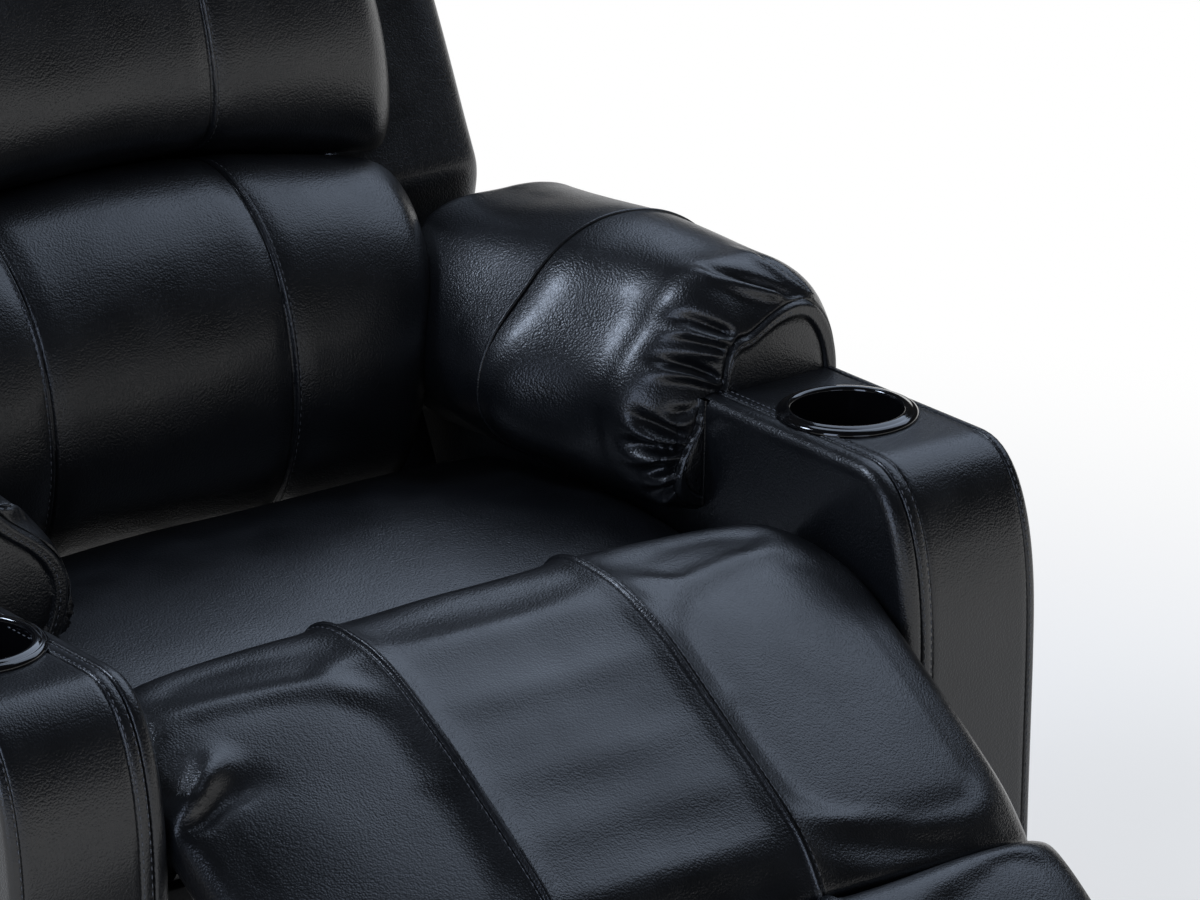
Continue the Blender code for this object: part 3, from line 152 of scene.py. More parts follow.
leather = {"dark": "#08090b", "pale": "#101216", "grainSize": 0.0017, "wrinkleSize": 0.007,
           "waveSize": 0.045, "grainDepth": 0.00026, "wrinkleDepth": 0.00014, "waveDepth": 0.0006,
           "rough": (0.29, 0.39), "gloss": 0.5, "coat": 0.16, "coatRough": 0.18, "pebbleSoftness": 0.35}


def makeLeather():
    # split hide with a rolled pebble grain and a thin satin top coat: black, with broken cool highlights
    material, tree, shader, coords = newMaterial(
        "bonded_leather_rolled", Specular_IOR_Level=leather["gloss"], Coat_Weight=leather["coat"],
        Coat_Roughness=leather["coatRough"], Coat_IOR=1.5)
    grainSize = leather["grainSize"]
    tone = addNoise(tree, coords, leather["waveSize"], 4.0).outputs["Fac"]
    setColour(tree, shader, tone, leather["dark"], leather["pale"])
    setRough(tree, shader, tone, *leather["rough"], From_Min=0.3, From_Max=0.7)
    warp = addNoise(tree, coords, 3 * grainSize, 2.0)
    bent = addNode(tree, "ShaderNodeVectorMath", {1: (grainSize,) * 3}, {0: warp.outputs["Color"]},
                   operation="MULTIPLY")
    moved = addNode(tree, "ShaderNodeVectorMath", {}, {0: coords, 1: bent.outputs[0]}, operation="ADD")
    pebble = addNode(tree, "ShaderNodeTexVoronoi",
                     {"Scale": 1 / grainSize, "Smoothness": leather["pebbleSoftness"]},
                     {"Vector": moved.outputs[0]}, feature="SMOOTH_F1")
    wrinkle = addNoise(tree, coords, leather["wrinkleSize"], 5.0)
    wave = addNoise(tree, coords, leather["waveSize"], 2.0)
    below = setBump(tree, shader, wave.outputs["Fac"], leather["waveDepth"], 0.6)
    below = setBump(tree, shader, wrinkle.outputs["Fac"], leather["wrinkleDepth"], 0.7, below)
    setBump(tree, shader, pebble.outputs["Distance"], leather["grainDepth"], 1.0, below, invert=True)
    return material


def makePlastic(name, code, rough, textureSize, depth, coat=0.0):
    # moulded plastic: a fine spark texture in the tool, or a polished tool where the depth is small
    material, tree, shader, coords = newMaterial(
        name, Base_Color=linear(code), Specular_IOR_Level=0.5, Coat_Weight=coat, Coat_Roughness=0.05)
    texture = addNoise(tree, coords, textureSize, 3.0).outputs["Fac"]
    setRough(tree, shader, texture, rough * 0.85, rough * 1.2)
    setBump(tree, shader, texture, depth, 0.5)
    return material


timber = {"dark": "#a98355", "pale": "#d9bd8f", "rough": 0.72, "stretch": (1.0, 12.0, 12.0), "lines": 9.0,
          "depth": 0.0004}


def makeTimber():
    # rotary-cut plywood, sawn and left bare: pale flat grain with darker growth lines
    material, tree, shader, coords = newMaterial(
        "birch_plywood_sawn", Specular_IOR_Level=0.3, Roughness=timber["rough"])
    stretch = addNode(tree, "ShaderNodeMapping", {"Scale": timber["stretch"]}, {"Vector": coords})
    grain = addNoise(tree, stretch.outputs["Vector"], 1 / timber["lines"], 6.0, 0.8).outputs["Fac"]
    setColour(tree, shader, grain, timber["dark"], timber["pale"])
    setBump(tree, shader, grain, timber["depth"], 0.4)
    return material


steel = {"dark": "#141416", "pale": "#2a2b2e", "rough": (0.3, 0.5), "patches": 60.0, "depth": 0.0002}


def makeSteel():
    # pressed mild steel with a thin black enamel, worn a little lighter in patches
    material, tree, shader, coords = newMaterial("mild_steel_black_enamel", Specular_IOR_Level=0.5)
    patch = addNoise(tree, coords, 1 / steel["patches"], 5.0).outputs["Fac"]
    setColour(tree, shader, patch, steel["dark"], steel["pale"])
    setRough(tree, shader, patch, *steel["rough"])
    setBump(tree, shader, patch, steel["depth"], 0.3)
    return material


thread = {"dark": "#2b2d31", "pale": "#5c5f66", "rough": 0.42, "twists": 700.0}


def makeThread():
    # bonded polyester sewing thread: a twist of filaments with a waxy sheen
    material, tree, shader, coords = newMaterial(
        "bonded_polyester_thread", Roughness=thread["rough"], Specular_IOR_Level=0.5)
    twist = addNode(tree, "ShaderNodeTexWave", {"Scale": thread["twists"], "Distortion": 1.0},
                    {"Vector": coords}, bands_direction="DIAGONAL")
    setColour(tree, shader, twist.outputs["Fac"], thread["dark"], thread["pale"])
    return material


leatherLook = makeLeather()
glossLook = makePlastic("abs_gloss_moulded", "#08080a", 0.10, 0.02, 0.00004, coat=0.5)
mattLook = makePlastic("polypropylene_spark_textured", "#17181a", 0.50, 0.0008, 0.00012)
timberLook = makeTimber()
clothLook = makePlastic("spunbond_polypropylene_dust_cloth", "#121213", 0.80, 0.0012, 0.0003)
steelLook = makeSteel()
threadLook = makeThread()
print("materials made")


# Shapes shared by the pieces
def smoothStep(low, high, value):
    t = min(1.0, max(0.0, (value - low) / (high - low)))
    return t * t * (3 - 2 * t)


def through(points):
    # a smooth path through its points, as a function of a share from 0 to 1
    marks = [0.0]
    for a, b in zip(points, points[1:]):
        marks.append(marks[-1] + math.dist(a, b))

    def at(share):
        place = share * marks[-1]
        index = 0
        while index < len(points) - 2 and place > marks[index + 1]:
            index += 1
        t = (place - marks[index]) / (marks[index + 1] - marks[index])
        a, b = points[index], points[index + 1]
        before = points[index - 1] if index else a
        after = points[index + 2] if index + 2 < len(points) else b
        result = []
        for p, q, r, s in zip(before, a, b, after):
            slopeIn = (r - p) / (2 if index else 1)
            slopeOut = (s - q) / (2 if index + 2 < len(points) else 1)
            result.append((2 * t**3 - 3 * t**2 + 1) * q + (t**3 - 2 * t**2 + t) * slopeIn
                          + (3 * t**2 - 2 * t**3) * r + (t**3 - t**2) * slopeOut)
        return tuple(result)

    return at


normalStep = 0.004


def evenPath(points):
    # place and outward normal at a share of the path's length, for a path that runs up, back and down
    marks = np.concatenate(([0.0], np.cumsum([math.dist(a, b) for a, b in zip(points, points[1:])])))
    spots = np.array(points)

    def at(share):
        mark = share * marks[-1]
        place, near, far = ([np.interp(mark + step, marks, spots[:, k]) for k in (0, 1)]
                            for step in (0.0, -normalStep, normalStep))
        way = Vector((far[0] - near[0], far[1] - near[1])).normalized()
        return Vector(place), Vector((-way.y, way.x))

    return at


def softBlock(divisions, rule):
    # a cube divided into even steps, whose points the rule puts in place
    bm = bmesh.new()
    bmesh.ops.create_cube(bm, size=2.0)
    for axis, count in enumerate(divisions):
        along = [e for e in bm.edges if abs(e.verts[0].co[axis] - e.verts[1].co[axis]) > 1.0]
        bmesh.ops.subdivide_edges(bm, edges=along, cuts=count - 1, use_grid_fill=True)
    for vertex in bm.verts:
        vertex.co = rule(*vertex.co)
    return bm


def roundedBlock(divisions, power, rule):
    # a divided cube with a rounded section and flat ends; the rule places its points, -1 to 1 each way
    def place(u, v, w):
        reach = (abs(u) ** power + abs(w) ** power) ** (1 / power)
        scale = max(abs(u), abs(w)) / reach if reach else 1.0
        return rule(u * scale, v, w * scale)

    return softBlock(divisions, place)


sameSpot = 0.00001


def gridSheet(columns, rows, rule):
    # a grid whose corners run from 0 to 1 both ways, put in place by the rule; touching edges are fused
    bm = bmesh.new()
    bmesh.ops.create_grid(bm, x_segments=columns, y_segments=rows, size=1.0)
    for vertex in bm.verts:
        vertex.co = rule((vertex.co.x + 1) / 2, (vertex.co.y + 1) / 2)
    bmesh.ops.remove_doubles(bm, verts=bm.verts, dist=sameSpot)
    return bm


def uneven(bm, size, depth, turn):
    # the slow hills of a hand-filled cushion
    bm.normal_update()
    shift = Vector((turn, turn * 2, -turn))
    moves = [v.normal * depth * noise.noise(v.co / size + shift) for v in bm.verts]
    for vertex, move in zip(bm.verts, moves):
        vertex.co += move
    return bm


def objectFrom(name, bm):
    mesh = bpy.data.meshes.new(name)
    bm.to_mesh(mesh)
    bm.free()
    item = bpy.data.objects.new(name, mesh)
    scene.collection.objects.link(item)
    return item


def shapeOf(helper):
    # the helper's shape with its modifiers, as a bmesh; the helper is removed
    graph = bpy.context.evaluated_depsgraph_get()
    mesh = bpy.data.meshes.new_from_object(helper.evaluated_get(graph))
    bm = bmesh.new()
    bm.from_mesh(mesh)
    old = helper.data
    bpy.data.objects.remove(helper, do_unlink=True)
    bpy.data.meshes.remove(old)
    bpy.data.meshes.remove(mesh)
    return bm


def subdivided(bm, levels):
    helper = objectFrom("helper", bm)
    finer = helper.modifiers.new("finer", "SUBSURF")
    finer.levels = levels
    finer.render_levels = levels
    return shapeOf(helper)


def cutBy(bm, tool):
    helper, cutter = objectFrom("helper", bm), objectFrom("cutter", tool)
    change = helper.modifiers.new("cut", "BOOLEAN")
    change.operation = "DIFFERENCE"
    change.solver = "EXACT"
    change.object = cutter
    result = shapeOf(helper)
    bpy.data.objects.remove(cutter, do_unlink=True)
    return result


def boxShape(low, high):
    bm = bmesh.new()
    bmesh.ops.create_cube(bm, size=1.0)
    bmesh.ops.scale(bm, vec=[b - a for a, b in zip(low, high)], verts=bm.verts)
    bmesh.ops.translate(bm, vec=[(a + b) / 2 for a, b in zip(low, high)], verts=bm.verts)
    return bm


def mirroredShape(bm):
    # the same shape on the chair's other side
    copy = bm.copy()
    bmesh.ops.scale(copy, vec=(-1, 1, 1), verts=copy.verts)
    bmesh.ops.reverse_faces(copy, faces=copy.faces)
    return copy


def makePiece(name, bm, look, body=None, slot="leather", replaces=(), sharp=None):
    bmesh.ops.translate(bm, vec=(0, armFront, 0), verts=bm.verts)
    item = objectFrom(name, bm)
    mesh = item.data
    mesh.materials.clear()
    mesh.materials.append(look)
    mesh.shade_smooth()
    if sharp:
        mesh.set_sharp_from_angle(angle=math.radians(sharp))
    if body:
        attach(item, body)
    if replaces:
        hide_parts(*replaces)
    return item


cloth = {"frames": 20, "settings": {
    "quality": 6, "mass": 0.35, "tension_stiffness": 25.0, "compression_stiffness": 25.0,
    "shear_stiffness": 12.5, "bending_stiffness": 2.0, "use_pressure": True}}


def inflated(bm, held, pressure, cap):
    # blows the cover up like a stuffed case: held(place) is 1 where it is sewn down, 0 where it is free
    bm.verts.ensure_lookup_table()
    before = [v.co.copy() for v in bm.verts]
    helper = objectFrom("helper", bm)
    group = helper.vertex_groups.new(name="held")
    for index, place in enumerate(before):
        weight = held(place)
        if weight > 0.0:
            group.add([index], weight, "REPLACE")
    case = helper.modifiers.new("case", "CLOTH")
    for name, value in cloth["settings"].items():
        setattr(case.settings, name, value)
    case.settings.uniform_pressure_force = pressure
    case.settings.effector_weights.gravity = 0.0
    case.settings.vertex_group_mass = "held"
    case.collision_settings.use_collision = False
    case.point_cache.frame_start = 1
    case.point_cache.frame_end = cloth["frames"]
    for number in range(1, cloth["frames"] + 1):
        scene.frame_set(number)
    result = shapeOf(helper)
    scene.frame_set(1)
    result.verts.ensure_lookup_table()
    for vertex, place in zip(result.verts, before):
        move = vertex.co - place
        if move.length > cap:
            vertex.co = place + move.normalized() * cap
    return result


def stuffedPad(spec, rule, held):
    # a rounded block, softened, blown up under its cover and left a little uneven
    bm = roundedBlock(spec["divisions"], spec["power"], rule)
    bmesh.ops.smooth_vert(bm, verts=bm.verts, factor=0.5, use_axis_x=True, use_axis_y=True, use_axis_z=True)
    bm = inflated(bm, held, spec["pressure"], spec["cap"])
    return uneven(subdivided(bm, 1), *spec["hills"])


# Sewing: a seam is a groove with a folded welt beside it and a row of stitches on the welt's far side
seam = {"channel": 0.0026, "channelWidth": 0.012, "groove": 0.0030, "grooveWidth": 0.0012, "welt": 0.0015,
        "weltPlace": 0.0028, "weltWidth": 0.0016, "stitchPlace": 0.0050, "dimple": 0.0005,
        "dimpleWidth": 0.0008, "cutReach": 0.04, "reach": 0.05, "rayFrom": 0.06, "rayLength": 0.14,
        "loops": (-0.020, -0.014, -0.009, -0.005, -0.0025, -0.001, 0.0, 0.001, 0.002, 0.0028, 0.0036,
                  0.0044, 0.005, 0.0057, 0.0068, 0.010, 0.015, 0.021)}
stitch = {"pitch": 0.0065, "length": 0.0044, "width": 0.0010, "lift": 0.00015}


def bell(value, place, width):
    return math.exp(-((value - place) / width) ** 2)


def seamProfile(offset):
    # how far the cover stands out at a distance from the groove, outwards from the pad's middle
    return (-seam["channel"] * bell(offset, 0, seam["channelWidth"])
            - seam["groove"] * bell(offset, 0, seam["grooveWidth"])
            + seam["welt"] * bell(offset, seam["weltPlace"], seam["weltWidth"])
            - seam["dimple"] * bell(offset, seam["stitchPlace"], seam["dimpleWidth"]))


def sewn(bm, seamX, onFront):
    # two seams along the pad at x = +-seamX, where onFront(place) is the strength of the sewing
    for side in (1, -1):
        for offset in seam["loops"]:
            plane = Vector((side * (seamX + offset), 0, 0))
            near = [f for f in bm.faces if any(abs(abs(v.co.x) - seamX) < seam["cutReach"] for v in f.verts)
                    and f.calc_center_median().x * side > 0]
            edges = {e for f in near for e in f.edges}
            verts = {v for f in near for v in f.verts}
            bmesh.ops.bisect_plane(bm, geom=[*near, *edges, *verts], dist=0.00005, plane_co=plane,
                                   plane_no=(1, 0, 0))
    bm.normal_update()
    moves = []
    for vertex in bm.verts:
        offset = abs(vertex.co.x) - seamX
        if abs(offset) < seam["reach"]:
            strength = onFront(vertex.co)
            if strength > 0:
                moves.append((vertex, vertex.normal * seamProfile(offset) * strength))
    for vertex, move in moves:
        vertex.co += move
    return bm


def stitchRow(bm, places, normals):
    # stitches of one row, at even steps along the places
    marks = [0.0]
    for a, b in zip(places, places[1:]):
        marks.append(marks[-1] + (b - a).length)
    count = int(marks[-1] / stitch["pitch"])
    for number in range(count):
        mark = (number + 0.5) * stitch["pitch"]
        index = max(i for i in range(len(marks) - 1) if marks[i] <= mark)
        span = marks[index + 1] - marks[index]
        t = (mark - marks[index]) / span if span else 0.0
        place = places[index].lerp(places[index + 1], t)
        up = normals[index].lerp(normals[index + 1], t).normalized()
        along = (places[index + 1] - places[index]).normalized()
        across = along.cross(up).normalized()
        up = across.cross(along)
        turn = Matrix((across, along, up)).transposed().to_4x4()
        size = Matrix.Diagonal((stitch["width"] / 2, stitch["length"] / 2, stitch["width"] / 2, 1.0))
        bmesh.ops.create_uvsphere(
            bm, u_segments=6, v_segments=4, radius=1.0,
            matrix=Matrix.Translation(place + up * stitch["lift"]) @ turn @ size)


def seamStitches(surface, spec, path):
    # rows of stitches along both seams: rays from outside the pad find its face
    tree = BVHTree.FromBMesh(surface)
    first, length, steps = spec["thread"]
    bm = bmesh.new()
    for side in (1, -1):
        x = side * (spec["seam"] + seam["stitchPlace"])
        places, normals = [], []
        for share in (first + length * k / steps for k in range(steps + 1)):
            out = sideOf(path, share)
            start = Vector((x, *path(share))) + out * seam["rayFrom"]
            hit, normal, _, _ = tree.ray_cast(start, -out, seam["rayLength"])
            if hit:
                places.append(hit)
                normals.append(normal)
        if len(places) > 1:
            stitchRow(bm, places, normals)
    return bm


fold = {"taper": (0.6, 0.8), "fadeFrom": 0.3, "ridgePlace": 1.9, "ridgeWidth": 1.1}


def foldMoves(bm, folds):
    # how far each point moves along its normal where folds are pressed into a surface: each fold has the
    # pixels of the photograph that it runs through, its depth, its width and its ridge's share of the depth
    tree = BVHTree.FromBMesh(bm)
    bm.normal_update()
    bm.verts.ensure_lookup_table()
    spots = np.array([v.co for v in bm.verts])
    normals = np.array([v.normal for v in bm.verts])
    total = np.zeros(len(spots))
    for pixels, depth, breadth, ridgeShare in folds:
        hits = [tree.ray_cast(*photoRay(*pixel))[0] for pixel in pixels]
        points = [np.array(hit) for hit in hits if hit]
        if len(points) < 2:
            print("fold missed the surface", pixels)
            continue
        lengths = [np.linalg.norm(b - a) for a, b in zip(points, points[1:])]
        whole = sum(lengths)
        best = np.full(len(spots), 1e9)
        side = np.zeros(len(spots))
        share = np.zeros(len(spots))
        done = 0.0
        for a, b, length in zip(points, points[1:], lengths):
            way = (b - a) / length
            t = np.clip((spots - a) @ way, 0, length)
            gap = spots - (a + t[:, None] * way)
            far = np.linalg.norm(gap, axis=1)
            nearer = far < best
            signed = np.sum(gap * np.cross(normals, way), axis=1)
            best = np.where(nearer, far, best)
            side = np.where(nearer, np.sign(signed), side)
            share = np.where(nearer, (done + t) / whole, share)
            done += length
        width = breadth * (fold["taper"][0] + fold["taper"][1] * share)
        tail = np.clip((share - fold["fadeFrom"]) / (1 - fold["fadeFrom"]), 0, 1)
        fade = 1 - tail * tail * (3 - 2 * tail)
        valley = -depth * np.exp(-(best / width) ** 2)
        apart = (best * side - fold["ridgePlace"] * width) / (fold["ridgeWidth"] * width)
        total += (valley + ridgeShare * depth * np.exp(-apart**2)) * fade
    return [float(move) for move in total]


def pressed(bm, moves):
    bm.normal_update()
    shifts = [v.normal * move for v, move in zip(bm.verts, moves)]
    for vertex, shift in zip(bm.verts, shifts):
        vertex.co += shift
    return bm


def sideOf(path, share, step=0.01):
    # the direction out of a path that runs towards the sitter's feet, in the plane of the chair's middle
    a, b = path(max(0.0, share - step)), path(min(1.0, share + step))
    way = Vector((b[0] - a[0], b[1] - a[1])).normalized()
    return Vector((0.0, way.y, -way.x))


# The footrest's board and the back's board give two slanted planes, each with its own two axes
knee, boardStowed = (-0.105, 0.560), (0.163, -0.136)
footTurn, backLean = math.radians(52.0), math.radians(25.0)
boardTop = (knee[0] + boardStowed[0] * math.cos(footTurn) + boardStowed[1] * math.sin(footTurn),
            knee[1] + boardStowed[1] * math.cos(footTurn) - boardStowed[0] * math.sin(footTurn))
boardDown = (-math.sin(footTurn), -math.cos(footTurn))
boardOut = (-math.cos(footTurn), math.sin(footTurn))
backFoot = (0.560, 0.410)
backUp = (math.sin(backLean), math.cos(backLean))
backOut = (-math.cos(backLean), math.sin(backLean))


def onBoard(along, out):
    return tuple(boardTop[k] + boardDown[k] * along + boardOut[k] * out for k in (0, 1))


def onBack(up, out):
    return tuple(backFoot[k] + backUp[k] * up + backOut[k] * out for k in (0, 1))


def outOf(place, foot, out):
    # how far a place stands out of one of the two planes
    return (place.y - foot[0]) * out[0] + (place.z - foot[1]) * out[1]


# Seat cushion
# "path" is the top from front to rear: share, place, height above the step under the chaise pad
seat = {"half": 0.331, "step": 0.470, "bottom": 0.412, "slope": 0.036, "crown": 0.006, "pressure": 1.5,
        "cap": 0.006, "divisions": (48, 56, 8), "power": 9, "hills": (0.12, 0.0018, 3.1),
        "linkSpace": 0.276, "linkTop": 0.453, "linkCut": (0.4, 0.6, 0.36), "free": (0.30, 0.22, 0.485),
        "path": ((0.0, 0.055, 0.0), (0.24, 0.173, 0.0), (0.27, 0.182, 0.008), (0.30, 0.197, 0.0150),
                 (0.34, 0.220, 0.0215), (0.39, 0.248, 0.0285), (0.45, 0.280, 0.0350), (0.52, 0.315, 0.0400),
                 (0.60, 0.350, 0.0420), (0.70, 0.400, 0.0415), (1.0, 0.498, 0.030))}


def makeSeat():
    marks, alongs, rises = zip(*seat["path"])
    freeHalf, freeFrom, freeAbove = seat["free"]
    cutSide, cutRear, cutLow = seat["linkCut"]

    def rule(u, v, w):
        share = (v + 1) / 2
        y = float(np.interp(share, marks, alongs))
        rise = float(np.interp(share, marks, rises))
        top = seat["step"] + rise + seat["crown"] * (0.5 - u**2) * smoothStep(0.4, 0.6, share)
        z = seat["bottom"] + (top - seat["bottom"]) * (w + 1) / 2
        y += seat["slope"] * (1 - w) / 2 * (1 - smoothStep(0.0, 0.15, share))
        return Vector((u * seat["half"], y, z))

    bm = stuffedPad(seat, rule,
                    lambda p: 0.0 if p.z > freeAbove and abs(p.x) < freeHalf and p.y > freeFrom else 1.0)
    for side in (1, -1):
        low, high = sorted((side * seat["linkSpace"], side * cutSide))
        bm = cutBy(bm, boxShape((low, 0.0, cutLow), (high, cutRear, seat["linkTop"])))
    makePiece("seat_cushion_leather", bm, leatherLook, "base",
              replaces=["seat_cushion"], sharp=50)


makeSeat()
print("seat made")


# Chaise pad: from the seat's valley to the crease above the footrest pad
chaise = {"half": 0.330, "seam": 0.110, "seamHeld": 0.010, "lift": 0.0015, "pressure": 2.0, "cap": 0.006,
          "divisions": (60, 48, 6), "power": 6.5, "hills": (0.09, 0.0022, 1.7), "sideDrop": 0.013,
          "thread": (0.02, 0.95, 90), "edge": (0.31, 0.325), "end": (0.0225, 0.070),
          "top": ((0.171, 0.040), (0.164, 0.062), (0.148, 0.0815), (0.120, 0.0905), (0.072, 0.086),
                  (0.020, 0.0655), (-0.060, 0.018), (-0.140, -0.038)),
          "bendFrom": (0.050, 0.500), "bendTo": (0.02, 0.03)}
# pixels, depth, width, ridge
chaiseFolds = [(((192, 806), (202, 786), (216, 764), (236, 740)), 0.0100, 0.0120, 0.8)]


def nearestShare(place, first, second):
    # 0 where a place lies on the first path and 1 where it lies on the second, both as rows of points
    spot = np.array((place.y, place.z))
    near, far = (float(np.min(np.linalg.norm(path - spot, axis=1))) for path in (first, second))
    return near / (near + far + 1e-9)


def makeChaise():
    step, end, lift = seat["step"], chaise["end"], chaise["lift"]
    top = through([(y, step + z) for y, z in chaise["top"]] + [onBoard(*end)])
    under = through([(chaise["top"][0][0], step + lift), (0.091, step + lift), (0.045, step),
                     onBoard(-0.10, lift), onBoard(end[0], lift)])
    topPath = np.array([top(s / 80) for s in range(81)])
    underPath = np.array([under(s / 80) for s in range(81)])

    def rule(u, v, w):
        share = (v + 1) / 2
        high, low = Vector(top(share)), Vector(under(share))
        high -= (high - low).normalized() * chaise["sideDrop"] * abs(u) ** 4
        place = low + (high - low) * (w + 1) / 2
        return Vector((u * chaise["half"], place.x, place.y))

    def isTop(place):
        return nearestShare(place, underPath, topPath)

    def held(place):
        onSeam = bell(abs(place.x), chaise["seam"], chaise["seamHeld"])
        edge = smoothStep(*chaise["edge"], abs(place.x))
        return max(onSeam, edge, 1.0 if isTop(place) < 0.6 else 0.0)

    bm = stuffedPad(chaise, rule, held)
    bm = sewn(bm, chaise["seam"], lambda p: smoothStep(0.55, 0.75, isTop(p)))
    bm = pressed(bm, foldMoves(bm, chaiseFolds))
    threads = seamStitches(bm, chaise, top)
    pad = makePiece("chaise_pad_leather", bm, leatherLook, replaces=["chaise_pad"])
    sewing = makePiece("chaise_pad_stitches", threads, threadLook)
    end = tuple(Vector((0.0, *onBoard(*chaise["bendTo"]))) + Vector((0, armFront, 0)))
    for item in (pad, sewing):
        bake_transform(item)


makeChaise()
print("chaise pad made")


# Footrest pad
footPad = {"half": 0.330, "seam": 0.110, "seamHeld": 0.010, "start": 0.0245, "length": 0.323,
           "pressure": 2.5, "cap": 0.007, "divisions": (60, 40, 6), "power": 7,
           "hills": (0.09, 0.0020, 5.3),
           "thread": (0.02, 0.93, 70), "edge": (0.31, 0.325), "foot": 0.0003, "freeFrom": 0.05,
           "sewnFrom": (0.012, 0.035),
           "top": ((0.0245, 0.070), (0.034, 0.084), (0.060, 0.092), (0.120, 0.096), (0.220, 0.092),
                   (0.285, 0.074), (0.318, 0.038), (0.323, 0.0003))}


def makeFootPad():
    top = through(footPad["top"])

    def rule(u, v, w):
        share = (v + 1) / 2
        high = top(share)
        low = (footPad["start"] + (footPad["length"] - 0.004 - footPad["start"]) * share, footPad["foot"])
        t = (w + 1) / 2
        place = onBoard(low[0] + (high[0] - low[0]) * t, low[1] + (high[1] - low[1]) * t)
        return Vector((u * footPad["half"], *place))

    def held(place):
        onSeam = bell(abs(place.x), footPad["seam"], footPad["seamHeld"])
        edge = smoothStep(*footPad["edge"], abs(place.x))
        return max(onSeam, edge, 1.0 if outOf(place, boardTop, boardOut) < footPad["freeFrom"] else 0.0)

    bm = stuffedPad(footPad, rule, held)
    bm = sewn(bm, footPad["seam"], lambda p: smoothStep(*footPad["sewnFrom"], outOf(p, boardTop, boardOut)))
    threads = seamStitches(bm, footPad, lambda s: onBoard(*top(s)))
    makePiece("footrest_pad_leather", bm, leatherLook, "footrest", replaces=["footrest_pad"])
    makePiece("footrest_pad_stitches", threads, threadLook, "footrest")


makeFootPad()
print("footrest pad made")


# Back pillows: the front's path from foot to crest, the half-widths at the foot and at the crest, and
# the bow of one end
backPillows = {
    "lumbar": {"halves": (0.250, 0.294), "bow": 0.046, "bowEnd": 1, "hills": (0.10, 0.0022, 0.4),
               "front": ((0.045, 0.040), (0.052, 0.070), (0.080, 0.107), (0.130, 0.143), (0.200, 0.162),
                         (0.260, 0.158), (0.308, 0.136), (0.338, 0.102), (0.347, 0.062))},
    "head": {"halves": (0.300, 0.290), "bow": 0.050, "bowEnd": 0, "hills": (0.10, 0.0022, 2.9),
             "front": ((0.354, 0.060), (0.347, 0.090), (0.360, 0.124), (0.404, 0.148), (0.470, 0.158),
                       (0.550, 0.150), (0.610, 0.124), (0.645, 0.080), (0.655, 0.030))},
}
backStuffing = {"seam": 0.1125, "seamHeld": 0.010, "divisions": (56, 44, 8), "power": 7.0, "pressure": 2.5,
                "cap": 0.009, "thread": (0.03, 0.93, 70), "floor": -0.0192, "tuck": 0.252, "freeFrom": 0.04,
                "sewnFrom": (0.02, 0.05)}


def makeBackPillow(name):
    spec = {**backStuffing, **backPillows[name]}
    front = through(spec["front"])
    first, last = spec["front"][0][0], spec["front"][-1][0]

    def rule(u, v, w):
        share = (v + 1) / 2
        half = spec["halves"][0] + (spec["halves"][1] - spec["halves"][0]) * smoothStep(0, 1, share)
        high = front(share)
        low = (first + (last - first) * share, spec["floor"])
        t = (w + 1) / 2
        # narrower at the floor, where the pillow is tucked in behind the wings
        half = spec["tuck"] + (half - spec["tuck"]) * smoothStep(0.2, 0.75, t)
        near = share if spec["bowEnd"] else 1 - share
        up = low[0] + (high[0] - low[0]) * t - spec["bow"] * u**2 * near**1.5
        out = low[1] + (high[1] - low[1]) * t
        return Vector((u * half, *onBack(up, out)))

    def held(place):
        onSeam = bell(abs(place.x), spec["seam"], spec["seamHeld"])
        return max(onSeam, 1.0 if outOf(place, backFoot, backOut) < spec["freeFrom"] else 0.0)

    bm = stuffedPad(spec, rule, held)
    bm = sewn(bm, spec["seam"], lambda p: smoothStep(*spec["sewnFrom"], outOf(p, backFoot, backOut)))
    threads = seamStitches(bm, spec, lambda s: onBack(*front(1 - s)))
    makePiece(name + "_pillow_leather", bm, leatherLook, "back", replaces=[name + "_pillow"])
    makePiece(name + "_pillow_stitches", threads, threadLook, "back")


for name in backPillows:
    makeBackPillow(name)
print("back pillows made")


# Padded wings at the sides of the back, and the leather lining of the board between the pads
wing = {"inner": 0.236, "outer": 0.390, "foot": 0.328, "footTop": (0.240, 0.250), "low": 0.180,
        "high": 0.651, "front": 0.082, "rear": -0.0497, "crest": 0.030, "undercut": 0.050,
        "undercutTop": (0.21, 0.29), "divisions": (14, 84, 12), "power": 6.0, "hills": (0.10, 0.0020, 7.7)}
lining = {"half": 0.3290, "above": 0.300, "ups": (0.004, 0.262, 0.645), "rear": -0.0199, "front": -0.0180}


